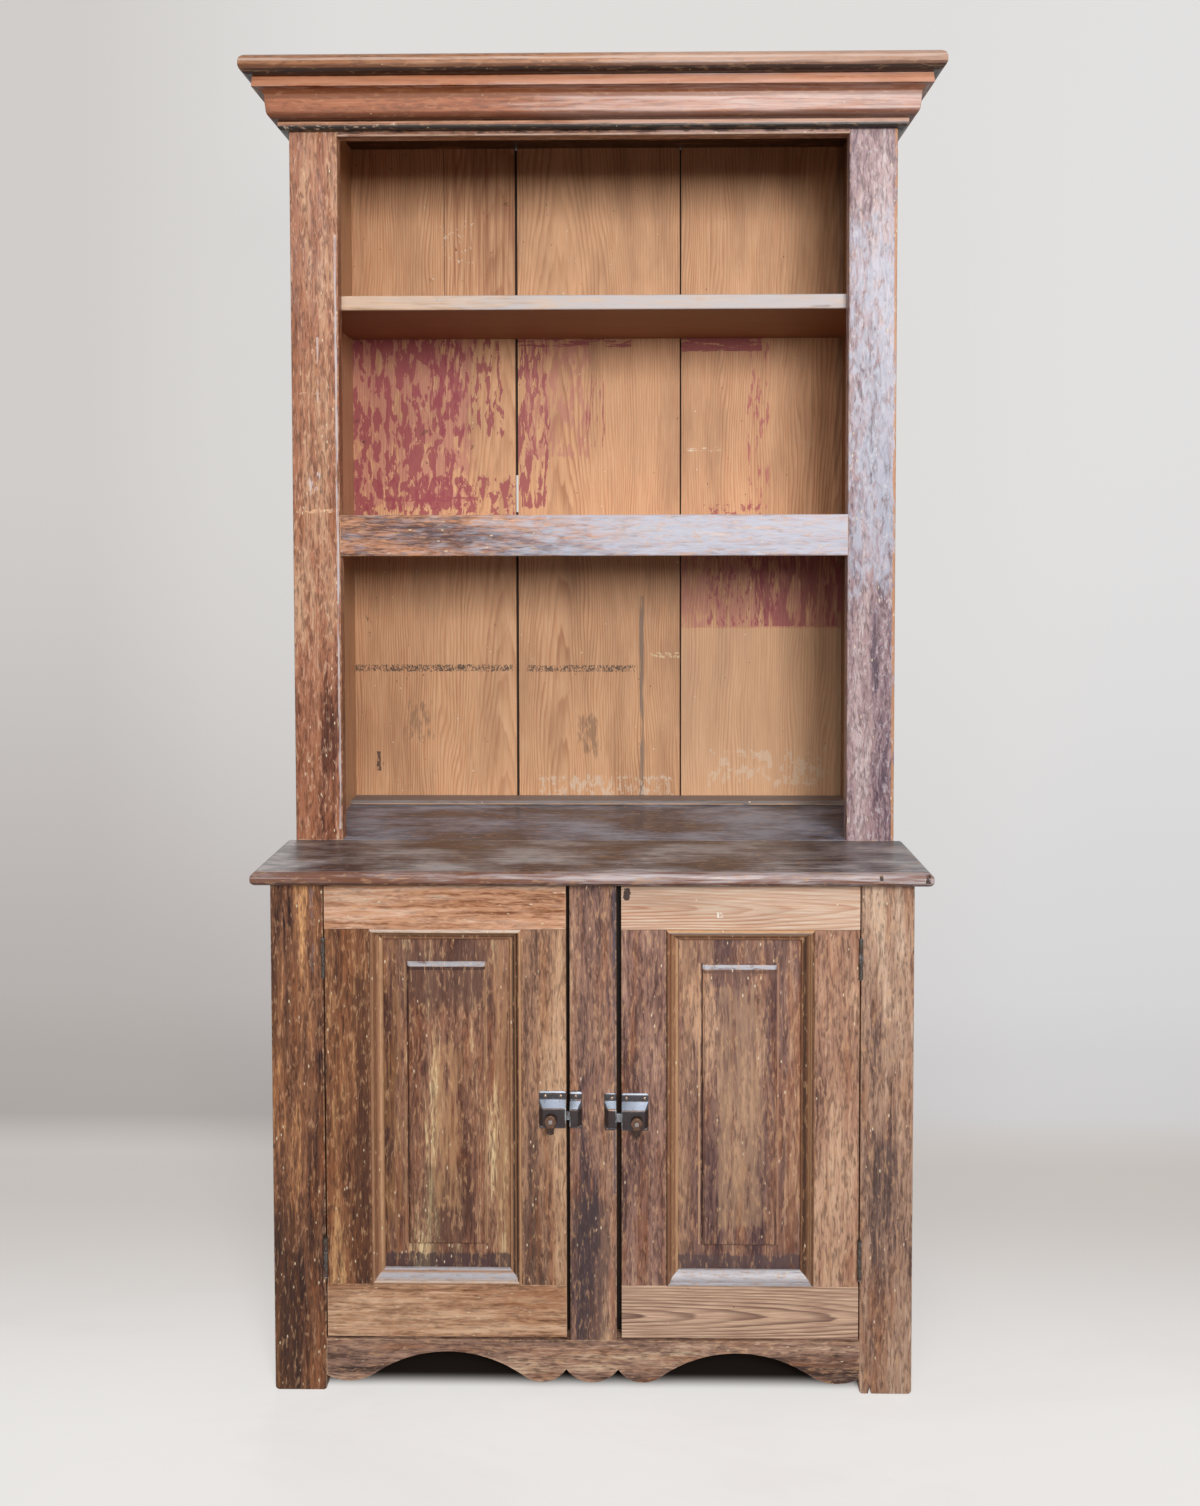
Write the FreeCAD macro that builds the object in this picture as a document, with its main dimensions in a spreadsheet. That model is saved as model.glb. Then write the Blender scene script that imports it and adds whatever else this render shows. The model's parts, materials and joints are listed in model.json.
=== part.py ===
import FreeCAD, Part
import Sketcher
import math
import os
import re

# Step back cupboard: an open shelved hutch over a two-door base.
# X runs left to right, Y front to back and Z up; the origin is on the floor, at the middle of the case.

Vector = FreeCAD.Vector
doc = FreeCAD.newDocument("StepBackCupboard")

# ---------------------------------------------------------------- driving sizes, millimetres and degrees

SIZES = {
    "overall_height": 2032,
    "overall_depth": 521,
    "base_width": 956,
    "hutch_side_reach": 6,
    "counter_level": 794,
    "counter_thick": 20,
    "counter_side_overhang": 22,
    "counter_overhang": 28,
    "counter_nose": 8.5,
    "step_depth": 196,
    "top_thick": 30,
    "top_overhang": 62,
    "top_nose": 13,
    "edge_wear": 1.2,
    "fit_gap": 0.2,
    "over_cut": 1,
    # case boards
    "hutch_side_thick": 30,
    "base_side_thick": 24,
    "back_thick": 16,
    "back_gap_left": 5,
    "back_gap_right": 3,
    "back_left_width": 302,
    "back_right_width": 298,
    "rabbet_depth": 10,
    "shelf_thick": 24,
    "housing_depth": 8,
    "upper_shelf_level": 1677,
    "middle_shelf_level": 1321,
    "strip_height": 8,
    "strip_depth": 48,
    # face frames
    "frame_thick": 26,
    "hutch_stile_width": 76,
    "top_rail_height": 78,
    "middle_rail_height": 66,
    "base_stile_width": 78,
    "centre_stile_width": 69.5,
    "centre_stile_shift": 2.2,
    "foot_wear": 6,
    "split_inset": 13,
    "split_width": 5,
    "split_height": 11,
    "back_foot_gap": 4,
    # cornice
    "fascia_height": 16,
    "fascia_reach": 46,
    "fascia_lean": 1.5,
    "cove_drop": 7,
    "ovolo_reach": 31,
    "ovolo_height": 36,
    "ovolo_batter": 2.5,
    "ovolo_radius": 12,
    "bead_height": 12.5,
    "bead_reach": 14,
    "bead_wear": 3,
    # apron
    "apron_level": 79,
    "lobe_level": 15,
    "lobe_radius": 44,
    "lobe_spacing": 76,
    "end_lobe_radius": 70,
    "end_lobe_inset": 33.8,
    "arch_level": 61,
    "cusp_spacing": 39,
    # base inside
    "floor_thick": 20,
    "base_shelf_level": 430,
    "base_shelf_setback": 60,
    "cleat_height": 28,
    "cleat_width": 20,
    "stop_width": 16,
    "stop_thick": 14,
    # doors
    "door_thick": 26,
    "door_top_gap": 6,
    "door_bottom_gap": 4,
    "door_hinge_gap": 2.2,
    "left_lock_gap": 5.5,
    "right_lock_gap": 7.5,
    "door_stile_width": 67,
    "door_top_rail": 66,
    "door_bottom_rail": 81,
    "groove_depth": 8,
    "panel_thick": 7,
    "panel_recess": 15,
    "field_raise": 5,
    "field_margin": 54,
    "field_bevel": 4,
    "moulding_width": 18,
    "moulding_proud": 3,
    "moulding_bead": 2.8,
    "moulding_drop": 1,
    "moulding_step": 1.5,
    "moulding_toe": 2.5,
    "moulding_toe_height": 3,
    # hinges
    "hinge_length": 60,
    "hinge_width": 20,
    "leaf_thick": 1.6,
    "barrel_radius": 3,
    "pin_radius": 1.5,
    "pin_clearance": 0.05,
    "pin_proud": 1,
    "knuckle_gap": 0.4,
    "upper_hinge_level": 660,
    "lower_hinge_level": 206,
    # latches
    "latch_level": 432,
    "right_latch_drop": 3,
    "latch_height": 56,
    "latch_length": 40,
    "latch_flange": 2.5,
    "flange_corner": 2,
    "latch_reach": 12,
    "latch_wall": 2,
    "strike_length": 18,
    "shoulder_drop": 10,
    "flange_drop": 12,
    "flange_foot": 5.5,
    "bevel_foot": 1,
    "bevel_length": 6,
    "knob_shift": 22.5,
    "knob_drop": 11.5,
    "knob_radius": 8.8,
    "paddle_width": 12,
    "paddle_drop": 21,
    "paddle_taper": 1,
    "knob_thick": 4.5,
    "knob_bevel": 1,
    "knob_gap": 0.4,
    "rivet_radius": 4,
    "rivet_proud": 1.6,
    "spindle_radius": 3,
    "crank_radius": 5.5,
    "crank_pin_radius": 1.5,
    "crank_disc_radius": 7.2,
    "crank_disc_thick": 2,
    "crank_clearance": 0.4,
    "bolt_height": 12,
    "bolt_thick": 4,
    "bolt_tail": 25,
    "bolt_shy": 0.5,
    "bolt_web": 2,
    "spring_thick": 0.8,
    "spring_room": 5.5,
    "spring_length": 22,
    "spring_margin": 3,
}

sheet = doc.addObject("Spreadsheet::Sheet", "Sizes")
for row, (alias, size) in enumerate(SIZES.items(), start=1):
    sheet.set("A%d" % row, alias)
    sheet.set("B%d" % row, str(size))
    sheet.setAlias("B%d" % row, alias)
doc.recompute()


def bound(text):
    """Write a formula in size names as an expression on the sheet."""
    def on_sheet(word):
        return "Sizes." + word.group() if word.group() in SIZES else word.group()
    return re.sub(r"[a-z_]+", on_sheet, text)


def value(text):
    """Work out a formula in size names as a plain number."""
    return float(sheet.evalExpression(bound(text)))


def plus(*terms):
    return " + ".join("(%s)" % term for term in terms)


def minus(term, *others):
    return "(%s)" % term + "".join(" - (%s)" % other for other in others)


def negative(term):
    return "0 - (%s)" % term


# ---------------------------------------------------------------- shared planes of the case

NOSE_Y = "0 - overall_depth / 2"
BACK_Y = "overall_depth / 2"
BASE_FACE_Y = plus(NOSE_Y, "counter_overhang")
HUTCH_FACE_Y = plus(NOSE_Y, "step_depth")
BOARDS_Y = minus(BACK_Y, "back_thick")
COUNTER_UNDER = "counter_level - counter_thick"
TOP_UNDER = "overall_height - top_thick"


# ---------------------------------------------------------------- building blocks

def new_body(label):
    body = doc.addObject("PartDesign::Body", label)
    body.Label = label
    return body


def place(feature, corner):
    for axis, text in zip("xyz", corner):
        feature.setExpression("Placement.Base." + axis, bound(text))


def block(body, low, high, cut=False, name="block"):
    """A box between two corners, added to the body or cut from it."""
    kind = "PartDesign::SubtractiveBox" if cut else "PartDesign::AdditiveBox"
    box = body.newObject(kind, "%s_%s" % (body.Label, name))
    for side, start, end in zip(("Length", "Width", "Height"), low, high):
        box.setExpression(side, bound(minus(end, start)))
    place(box, low)
    return box


def rod(body, centre, radius, length, axis="z", cut=False, name="rod"):
    """A cylinder along one axis from its centre, added to the body or cut from it."""
    kind = "PartDesign::SubtractiveCylinder" if cut else "PartDesign::AdditiveCylinder"
    cylinder = body.newObject(kind, "%s_%s" % (body.Label, name))
    turns = {"x": FreeCAD.Rotation(Vector(0, 1, 0), 90),
             "y": FreeCAD.Rotation(Vector(1, 0, 0), -90),
             "z": FreeCAD.Rotation()}
    cylinder.Placement = FreeCAD.Placement(Vector(), turns[axis])
    cylinder.setExpression("Radius", bound(radius))
    cylinder.setExpression("Height", bound(length))
    place(cylinder, centre)
    return cylinder


NEAR = 0.01


def edge_names(feature, wanted):
    """Names of the edges whose bounding box passes the test."""
    edges = enumerate(feature.Shape.Edges, start=1)
    return ["Edge%d" % number for number, edge in edges if wanted(edge.BoundBox)]


def ease(body, wanted, size="edge_wear", kind="Chamfer"):
    """Chamfer or round the chosen edges of the body's newest feature."""
    doc.recompute()
    base = body.Tip
    finish = body.newObject("PartDesign::" + kind, "%s_%s" % (body.Label, kind.lower()))
    finish.Base = (base, edge_names(base, wanted))
    finish.setExpression("Size" if kind == "Chamfer" else "Radius", bound(size))
    return finish


def along(axis):
    """A test for the straight edges that run along one axis."""
    def wanted(box):
        lengths = {"x": box.XLength, "y": box.YLength, "z": box.ZLength}
        run = lengths.pop(axis)
        return run > NEAR and max(lengths.values()) < NEAR
    return wanted


def in_front(level):
    """A test for the edges that lie wholly on or before one plane of Y."""
    return lambda box: box.YMax < value(level) + NEAR


def nosing(front):
    """A test for the level edges of a top's front and two sides."""
    return lambda box: box.ZLength < NEAR and box.YMin < value(front) + NEAR


def board(label, low, high, worn=None):
    """One plain board, with its long edges worn where an axis is given."""
    body = new_body(label)
    block(body, low, high)
    if worn:
        ease(body, along(worn))
    return body


groups = []
grouped = []


def group(label, bodies):
    """Pieces of one kind kept together as one sub-part of separate solids."""
    compound = doc.addObject("Part::Compound", label)
    compound.Label = label
    compound.Links = bodies
    groups.append(compound)
    grouped.extend(bodies)


def origin_plane(body, role):
    return [feature for feature in body.Origin.OriginFeatures if feature.Role == role][0]


def sketch_on(body, role, offset, name="profile"):
    """A sketch on one of the body's origin planes, moved along the plane's normal by a formula."""
    sketch = body.newObject("Sketcher::SketchObject", "%s_%s" % (body.Label, name))
    sketch.AttachmentSupport = [(origin_plane(body, role), "")]
    sketch.MapMode = "FlatFace"
    sketch.setExpression("AttachmentOffset.Base.z", bound(offset))
    return sketch


def bulged_arc(start, end, radius, side):
    """The shorter arc between two points, bulging right (1) or left (-1) of the way walked."""
    chord = end - start
    outward = Vector(chord.y, -chord.x, 0).normalize() * side
    centre = (start + end) * 0.5 - outward * math.sqrt(max(radius ** 2 - (chord.Length / 2) ** 2, 0))
    first, last = (start, end) if side > 0 else (end, start)
    angles = [math.atan2(spot.y - centre.y, spot.x - centre.x) for spot in (first, last)]
    return Part.ArcOfCircle(Part.Circle(centre, Vector(0, 0, 1), radius), angles[0], angles[1])


def outline(sketch, points, arcs=None):
    """Close a chain of lines and arcs through points given as formulas.

    arcs maps the number of a stretch to (radius, side): side 1 bulges to the right of the way walked,
    side -1 to the left.
    """
    arcs = arcs or {}
    spots = [Vector(value(x), value(y), 0) for x, y in points]
    heads = []
    for number, start in enumerate(spots):
        end = spots[(number + 1) % len(spots)]
        if number in arcs:
            radius_text, side = arcs[number]
            sketch.addGeometry(bulged_arc(start, end, value(radius_text), side), False)
            heads.append((1, 2) if side > 0 else (2, 1))
        else:
            sketch.addGeometry(Part.LineSegment(start, end), False)
            heads.append((1, 2))
    for number, (_, last) in enumerate(heads):
        after = (number + 1) % len(heads)
        sketch.addConstraint(Sketcher.Constraint("Coincident", number, last, after, heads[after][0]))
    for number, (x, y) in enumerate(points):
        for kind, text in (("DistanceX", x), ("DistanceY", y)):
            place_on = Sketcher.Constraint(kind, -1, 1, number, heads[number][0], value(text))
            index = sketch.addConstraint(place_on)
            sketch.setExpression("Constraints[%d]" % index, bound(text))
        if number in arcs:
            index = sketch.addConstraint(Sketcher.Constraint("Radius", number, value(arcs[number][0])))
            sketch.setExpression("Constraints[%d]" % index, bound(arcs[number][0]))
    return sketch


def pad(body, sketch, length, backwards=False, name="pad"):
    feature = body.newObject("PartDesign::Pad", "%s_%s" % (body.Label, name))
    feature.Profile = sketch
    feature.Reversed = backwards
    feature.setExpression("Length", bound(length))
    return feature


def pocket(body, sketch, length, backwards=False, name="pocket"):
    feature = body.newObject("PartDesign::Pocket", "%s_%s" % (body.Label, name))
    feature.Profile = sketch
    feature.Reversed = backwards
    feature.setExpression("Length", bound(length))
    return feature


def mirrored_name(side):
    return "left" if side < 0 else "right"


def across(side, inner, outer):
    """X limits of something between two distances from the middle, on the left (-1) or right (1)."""
    return (negative(outer), negative(inner)) if side < 0 else (inner, outer)


# ---------------------------------------------------------------- hutch case

HUTCH_HALF = "base_width / 2 + hutch_side_reach"
HUTCH_INNER = minus(HUTCH_HALF, "hutch_side_thick")
FRAME_BACK_Y = plus(HUTCH_FACE_Y, "frame_thick")


def hutch_side(side):
    low_x, high_x = across(side, HUTCH_INNER, HUTCH_HALF)
    body = new_body("hutch_%s_side" % mirrored_name(side))
    block(body, (low_x, FRAME_BACK_Y, "counter_level"), (high_x, BACK_Y, TOP_UNDER))
    rabbet_low, rabbet_high = across(side, HUTCH_INNER, plus(HUTCH_INNER, "rabbet_depth"))
    block(body, (rabbet_low, BOARDS_Y, "counter_level"), (rabbet_high, BACK_Y, TOP_UNDER), cut=True,
          name="rabbet")
    house_low, house_high = across(side, HUTCH_INNER, plus(HUTCH_INNER, "housing_depth"))
    for name in ("upper_shelf", "middle_shelf"):
        level = name + "_level"
        block(body, (house_low, FRAME_BACK_Y, minus(level, "shelf_thick")), (house_high, BOARDS_Y, level),
              cut=True, name=name + "_housing")


def hutch_stile(side):
    low_x, high_x = across(side, minus(HUTCH_HALF, "hutch_stile_width"), HUTCH_HALF)
    board("hutch_%s_stile" % mirrored_name(side), (low_x, HUTCH_FACE_Y, "counter_level"),
          (high_x, FRAME_BACK_Y, TOP_UNDER), worn="z")


def hutch_rail(label, low_z, high_z):
    reach = minus(HUTCH_HALF, "hutch_stile_width")
    board(label, (negative(reach), HUTCH_FACE_Y, low_z), (reach, FRAME_BACK_Y, high_z), worn="x")


def hutch_shelf(label, level):
    """A shelf housed in both sides; its front edge is rounded by use."""
    reach = minus(plus(HUTCH_INNER, "housing_depth"), "fit_gap")
    body = new_body(label)
    block(body, (negative(reach), FRAME_BACK_Y, minus(level, "shelf_thick - fit_gap")),
          (reach, BOARDS_Y, minus(level, "fit_gap")))
    ease(body, lambda box: along("x")(box) and in_front(FRAME_BACK_Y)(box), "edge_wear * 2", "Fillet")


def back_boards(label_start, inner, low_z, high_z):
    """Three upright boards, with open joints between them where they have shrunk."""
    boards = []
    reach = minus(plus(inner, "rabbet_depth"), "fit_gap")
    joint_left = minus("back_left_width", inner)
    joint_right = minus(inner, "back_right_width")
    spans = {
        "left": (negative(reach), joint_left),
        "centre": (plus(joint_left, "back_gap_left"), minus(joint_right, "back_gap_right")),
        "right": (joint_right, reach),
    }
    for place_name, (low_x, high_x) in spans.items():
        boards.append(board("%s_%s" % (label_start, place_name), (low_x, plus(BOARDS_Y, "fit_gap"), low_z),
                            (high_x, BACK_Y, high_z)))
    return boards


def top_board():
    """The top overhangs the front and the sides, with a rounded nose on those three edges."""
    reach = plus(HUTCH_HALF, "top_overhang")
    front = minus(HUTCH_FACE_Y, "top_overhang")
    body = new_body("top_board")
    block(body, (negative(reach), front, TOP_UNDER), (reach, BACK_Y, "overall_height"))
    ease(body, nosing(front), "top_nose", "Fillet")


for side in (-1, 1):
    hutch_side(side)
    hutch_stile(side)
hutch_rail("hutch_top_rail", minus(TOP_UNDER, "top_rail_height"), TOP_UNDER)
hutch_rail("hutch_middle_rail", minus("middle_shelf_level", "middle_rail_height"), "middle_shelf_level")
hutch_shelf("upper_shelf", "upper_shelf_level")
hutch_shelf("middle_shelf", "middle_shelf_level")
back_boards("hutch_back_board", HUTCH_INNER, "counter_level", TOP_UNDER)
strip_reach = minus(HUTCH_INNER, "fit_gap")
board("back_strip", (negative(strip_reach), minus(BOARDS_Y, "strip_depth"), "counter_level"),
      (strip_reach, BOARDS_Y, plus("counter_level", "strip_height")), worn="x")
top_board()


# ---------------------------------------------------------------- cornice: a crown and a bead, mitred

CROWN_FOOT = plus("fascia_height", "cove_drop", "ovolo_height")


def crown_points(out, base):
    """The crown's section: out is the sign of the outward way and base the face it is nailed to."""
    def at(reach, drop):
        return (plus(base, "%s * (%s)" % (out, reach)), minus(TOP_UNDER, drop))
    heel = minus(CROWN_FOOT, "ovolo_radius")
    return [
        at("0", "0"),
        at("fascia_reach - fascia_lean", "0"),
        at("fascia_reach", "fascia_height"),
        at("ovolo_reach", "fascia_height + cove_drop"),
        at("ovolo_reach - ovolo_batter", heel),
        at("ovolo_reach - ovolo_batter - ovolo_radius", CROWN_FOOT),
        at("0", CROWN_FOOT),
    ]


def bead_points(out, base):
    def at(reach, drop):
        return (plus(base, "%s * (%s)" % (out, reach)), minus(TOP_UNDER, CROWN_FOOT, drop))
    return [
        at("0", "0"),
        at("bead_reach", "0"),
        at("bead_reach", "bead_height - bead_wear"),
        at("bead_reach - bead_wear", "bead_height"),
        at("0", "bead_height"),
    ]


def mitre_cut(body, side, corner_x, corner_y, reach, keep_front):
    """Cut one end of a moulding along the diagonal from the case's corner outwards."""
    sketch = sketch_on(body, "XY_Plane", "overall_height", name="mitre_%s" % mirrored_name(side))
    tip = (plus(corner_x, "%d * (%s)" % (side, reach)), minus(corner_y, reach))
    third = (tip[0], corner_y) if keep_front else (corner_x, tip[1])
    outline(sketch, [(corner_x, corner_y), tip, third])
    pocket(body, sketch, "overall_height / 4", name="mitre_cut_%s" % mirrored_name(side))


def front_moulding(label, points, arcs, reach):
    """The length across the front, mitred at both ends."""
    body = new_body(label)
    length = plus("2 * (%s)" % HUTCH_HALF, "2 * (%s)" % reach)
    sketch = sketch_on(body, "YZ_Plane", negative("(%s) / 2" % length))
    outline(sketch, points("-1", HUTCH_FACE_Y), arcs)
    pad(body, sketch, length)
    for side in (-1, 1):
        corner_x = "%d * (%s)" % (side, HUTCH_HALF)
        mitre_cut(body, side, corner_x, HUTCH_FACE_Y, plus(reach, "over_cut"), keep_front=True)
    return body


def side_moulding(label, points, arcs, reach, side):
    """The length along one side, mitred at its front end and cut square at the back."""
    body = new_body(label)
    front = minus(HUTCH_FACE_Y, reach)
    sketch = sketch_on(body, "XZ_Plane", negative(BACK_Y))
    corner_x = "%d * (%s)" % (side, HUTCH_HALF)
    outline(sketch, points("%d" % side, corner_x), {n: (r, s * -side) for n, (r, s) in arcs.items()})
    pad(body, sketch, minus(BACK_Y, front))
    mitre_cut(body, side, corner_x, HUTCH_FACE_Y, plus(reach, "over_cut"), keep_front=False)
    return body


CROWN_ARCS = {2: ("fascia_reach - ovolo_reach", -1), 4: ("ovolo_radius * 1.05", 1)}
front_moulding("crown_front", crown_points, CROWN_ARCS, "fascia_reach")
beads = [front_moulding("bead_front", bead_points, {}, "bead_reach")]
for side in (-1, 1):
    side_moulding("crown_%s" % mirrored_name(side), crown_points, CROWN_ARCS, "fascia_reach", side)
    beads.append(side_moulding("bead_%s" % mirrored_name(side), bead_points, {}, "bead_reach", side))
group("cornice_beads", beads)


# ---------------------------------------------------------------- base case

BASE_HALF = "base_width / 2"
BASE_INNER = minus(BASE_HALF, "base_side_thick")
BASE_FRAME_BACK_Y = plus(BASE_FACE_Y, "frame_thick")
STILE_INNER = minus(BASE_HALF, "base_stile_width")
HINGE_GAIN = "leaf_thick + 2 * fit_gap - door_hinge_gap / 2"
FLOOR_UNDER = "apron_level - floor_thick"
BASE_SHELF_FRONT_Y = plus(BASE_FRAME_BACK_Y, "base_shelf_setback")


def centre_edge(side):
    return plus("centre_stile_shift", "%d * centre_stile_width / 2" % side)


def counter_ledge():
    """The front counter board is longer than the case and has a rounded nose on three edges."""
    body = new_body("counter_ledge")
    reach = plus(BASE_HALF, "counter_side_overhang")
    block(body, (negative(reach), NOSE_Y, COUNTER_UNDER), (reach, HUTCH_FACE_Y, "counter_level"))
    ease(body, nosing(NOSE_Y), "counter_nose", "Fillet")


def base_side(side):
    low_x, high_x = across(side, BASE_INNER, BASE_HALF)
    body = new_body("base_%s_side" % mirrored_name(side))
    block(body, (low_x, BASE_FRAME_BACK_Y, "0"), (high_x, BACK_Y, COUNTER_UNDER))
    rabbet_low, rabbet_high = across(side, BASE_INNER, plus(BASE_INNER, "rabbet_depth"))
    block(body, (rabbet_low, BOARDS_Y, "0"), (rabbet_high, BACK_Y, COUNTER_UNDER), cut=True,
          name="rabbet")
    house_low, house_high = across(side, BASE_INNER, plus(BASE_INNER, "housing_depth"))
    block(body, (house_low, BASE_FRAME_BACK_Y, FLOOR_UNDER), (house_high, BOARDS_Y, "apron_level"), cut=True,
          name="floor_housing")


def base_stile(side):
    """A front stile with a worn foot, and a gain in its inner edge for each hinge leaf."""
    low_x, high_x = across(side, STILE_INNER, BASE_HALF)
    body = new_body("base_%s_stile" % mirrored_name(side))
    block(body, (low_x, BASE_FACE_Y, "0"), (high_x, BASE_FRAME_BACK_Y, COUNTER_UNDER))
    ease(body, lambda box: along("y")(box) and box.ZMax < NEAR, "foot_wear", "Fillet")
    ease(body, along("z"))
    gain_low, gain_high = across(side, minus(STILE_INNER, "over_cut"), plus(STILE_INNER, HINGE_GAIN))
    for name in ("upper", "lower"):
        cut_gain(body, gain_low, gain_high, name)
    if side > 0:
        foot_split(body)


def foot_split(body):
    """The right foot has split at its bottom edge and lost a sliver."""
    near = plus(STILE_INNER, "split_inset")
    far = plus(near, "split_width")
    top = (plus(near, "split_width / 2"), "split_height")
    sketch = sketch_on(body, "XZ_Plane", negative(minus(BASE_FACE_Y, "over_cut")), name="split")
    outline(sketch, [(near, "0"), (far, "0"), top])
    pocket(body, sketch, "frame_thick + 2 * over_cut", name="split_cut")


def cut_gain(body, low_x, high_x, name):
    """A shallow seat for one hinge leaf, open to the front."""
    level = name + "_hinge_level"
    half = "hinge_length / 2 + fit_gap"
    depth = "hinge_width + 2 * knuckle_gap"
    block(body, (low_x, minus(BASE_FACE_Y, "over_cut"), minus(level, half)),
          (high_x, plus(BASE_FACE_Y, depth), plus(level, half)), cut=True, name=name + "_gain")


def centre_stile():
    board("centre_stile", (centre_edge(-1), BASE_FACE_Y, "apron_level"),
          (centre_edge(1), BASE_FRAME_BACK_Y, COUNTER_UNDER), worn="z")


def apron():
    """The scalloped apron: a centre lobe between cusps, then a lobe, an arch and an end lobe each way.

    The arcs meet in tangents, so the arch's middle and radius follow from the lobes beside it.
    """
    body = new_body("apron")
    sketch = sketch_on(body, "XZ_Plane", negative(BASE_FACE_Y))
    lobe_centre = "lobe_level + lobe_radius"
    cusp = "lobe_level + lobe_radius - sqrt(lobe_radius ^ 2 - (lobe_spacing - cusp_spacing) ^ 2)"
    rise = "(arch_level - lobe_level)"
    end_spacing = "(%s)" % minus(STILE_INNER, "end_lobe_inset")
    middle = "(%s + lobe_spacing) / 2" % end_spacing
    lean = "%s * (end_lobe_radius - lobe_radius) / (%s - lobe_spacing)" % (rise, end_spacing)
    arch_spacing = "(%s)" % minus(middle, lean)
    inner_run = "(%s)" % minus(arch_spacing, "lobe_spacing")
    outer_run = "(%s)" % minus(end_spacing, arch_spacing)
    inner_sum = "((%s ^ 2 + %s ^ 2) / (2 * %s))" % (inner_run, rise, rise)
    arch_radius = "(%s - lobe_radius)" % inner_sum
    arch_centre = "(arch_level - %s)" % arch_radius
    inner_share = "lobe_radius / %s" % inner_sum
    outer_share = "end_lobe_radius / (%s + end_lobe_radius)" % arch_radius
    inner_turn = ("lobe_spacing + %s * %s" % (inner_run, inner_share),
                  "%s + (%s - (%s)) * %s" % (lobe_centre, arch_centre, lobe_centre, inner_share))
    end_centre = "lobe_level + end_lobe_radius"
    outer_turn = ("%s - %s * %s" % (end_spacing, outer_run, outer_share),
                  "%s + (%s - (%s)) * %s" % (end_centre, arch_centre, end_centre, outer_share))
    end = (STILE_INNER, "%s - sqrt(end_lobe_radius ^ 2 - end_lobe_inset ^ 2)" % end_centre)
    half = [("cusp_spacing", cusp), inner_turn, outer_turn, end]
    right = half + [(STILE_INNER, "apron_level")]
    left = [(negative(x), y) for x, y in reversed(right)]
    points = left + right
    radii = ["end_lobe_radius", arch_radius, "lobe_radius"]
    bulges = [1, -1, 1]
    arcs = {}
    for step in range(3):
        arcs[1 + step] = (radii[step], bulges[step])
        arcs[7 - step] = (radii[step], bulges[step])
    drop = "(%s - lobe_level)" % cusp
    arcs[4] = ("(cusp_spacing ^ 2 + %s ^ 2) / (2 * %s)" % (drop, drop), 1)
    outline(sketch, points, arcs)
    pad(body, sketch, "frame_thick", backwards=True)


def base_cleats():
    """A cleat on each side carries the inner shelf."""
    cleats = []
    top = "base_shelf_level - shelf_thick"
    for side in (-1, 1):
        low_x, high_x = across(side, minus(BASE_INNER, "cleat_width"), BASE_INNER)
        cleats.append(board("base_%s_cleat" % mirrored_name(side),
                            (low_x, BASE_SHELF_FRONT_Y, minus(top, "cleat_height")), (high_x, BOARDS_Y, top)))
    group("base_shelf_cleats", cleats)


def door_stops():
    """Two strips behind the centre stile, which the doors close against."""
    stops = []
    for side in (-1, 1):
        edge = centre_edge(side)
        low_x = minus(edge, "stop_width / 2")
        high_x = plus(edge, "stop_width / 2")
        stops.append(board("%s_door_stop" % mirrored_name(side),
                           (low_x, plus(BASE_FRAME_BACK_Y, "fit_gap"), "apron_level"),
                           (high_x, plus(BASE_FRAME_BACK_Y, "fit_gap + stop_thick"), COUNTER_UNDER)))
    group("door_stops", stops)


counter_ledge()
board("counter_rear_board", (negative(HUTCH_HALF), HUTCH_FACE_Y, COUNTER_UNDER),
      (HUTCH_HALF, BACK_Y, "counter_level"))
for side in (-1, 1):
    base_side(side)
    base_stile(side)
centre_stile()
apron()
shelf_reach = minus(BASE_INNER, "fit_gap")
floor_reach = minus(plus(BASE_INNER, "housing_depth"), "fit_gap")
board("base_floor", (negative(floor_reach), BASE_FRAME_BACK_Y, plus(FLOOR_UNDER, "fit_gap")),
      (floor_reach, BOARDS_Y, "apron_level - fit_gap"))
board("base_shelf", (negative(shelf_reach), BASE_SHELF_FRONT_Y, "base_shelf_level - shelf_thick"),
      (shelf_reach, BOARDS_Y, "base_shelf_level"))
base_cleats()
group("base_back_boards", back_boards("base_back_board", BASE_INNER, "back_foot_gap", COUNTER_UNDER))
door_stops()


# ---------------------------------------------------------------- doors

DOOR_BOTTOM = plus("apron_level", "door_bottom_gap")
DOOR_TOP = minus(COUNTER_UNDER, "door_top_gap")
DOOR_BACK_Y = plus(BASE_FACE_Y, "door_thick")
GROOVE_Y = plus(BASE_FACE_Y, "panel_recess")
GROOVE_BACK_Y = plus(GROOVE_Y, "panel_thick")
OPENING_LOW = plus(DOOR_BOTTOM, "door_bottom_rail")
OPENING_HIGH = minus(DOOR_TOP, "door_top_rail")


def door_limits(side):
    """The door's hinged and free edges, as X formulas."""
    lock_gap = "left_lock_gap" if side < 0 else "right_lock_gap"
    hinge_edge = "%d * (%s)" % (side, minus(STILE_INNER, "door_hinge_gap"))
    free_edge = plus(centre_edge(side), "%d * %s" % (side, lock_gap))
    return hinge_edge, free_edge


def door_span(side, near, far):
    """Low and high X from two formulas that count from left to right on the left-hand door's plan."""
    return (near, far) if side < 0 else (far, near)


def inset(edge, direction, distance):
    return plus(edge, "%d * (%s)" % (direction, distance))


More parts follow.
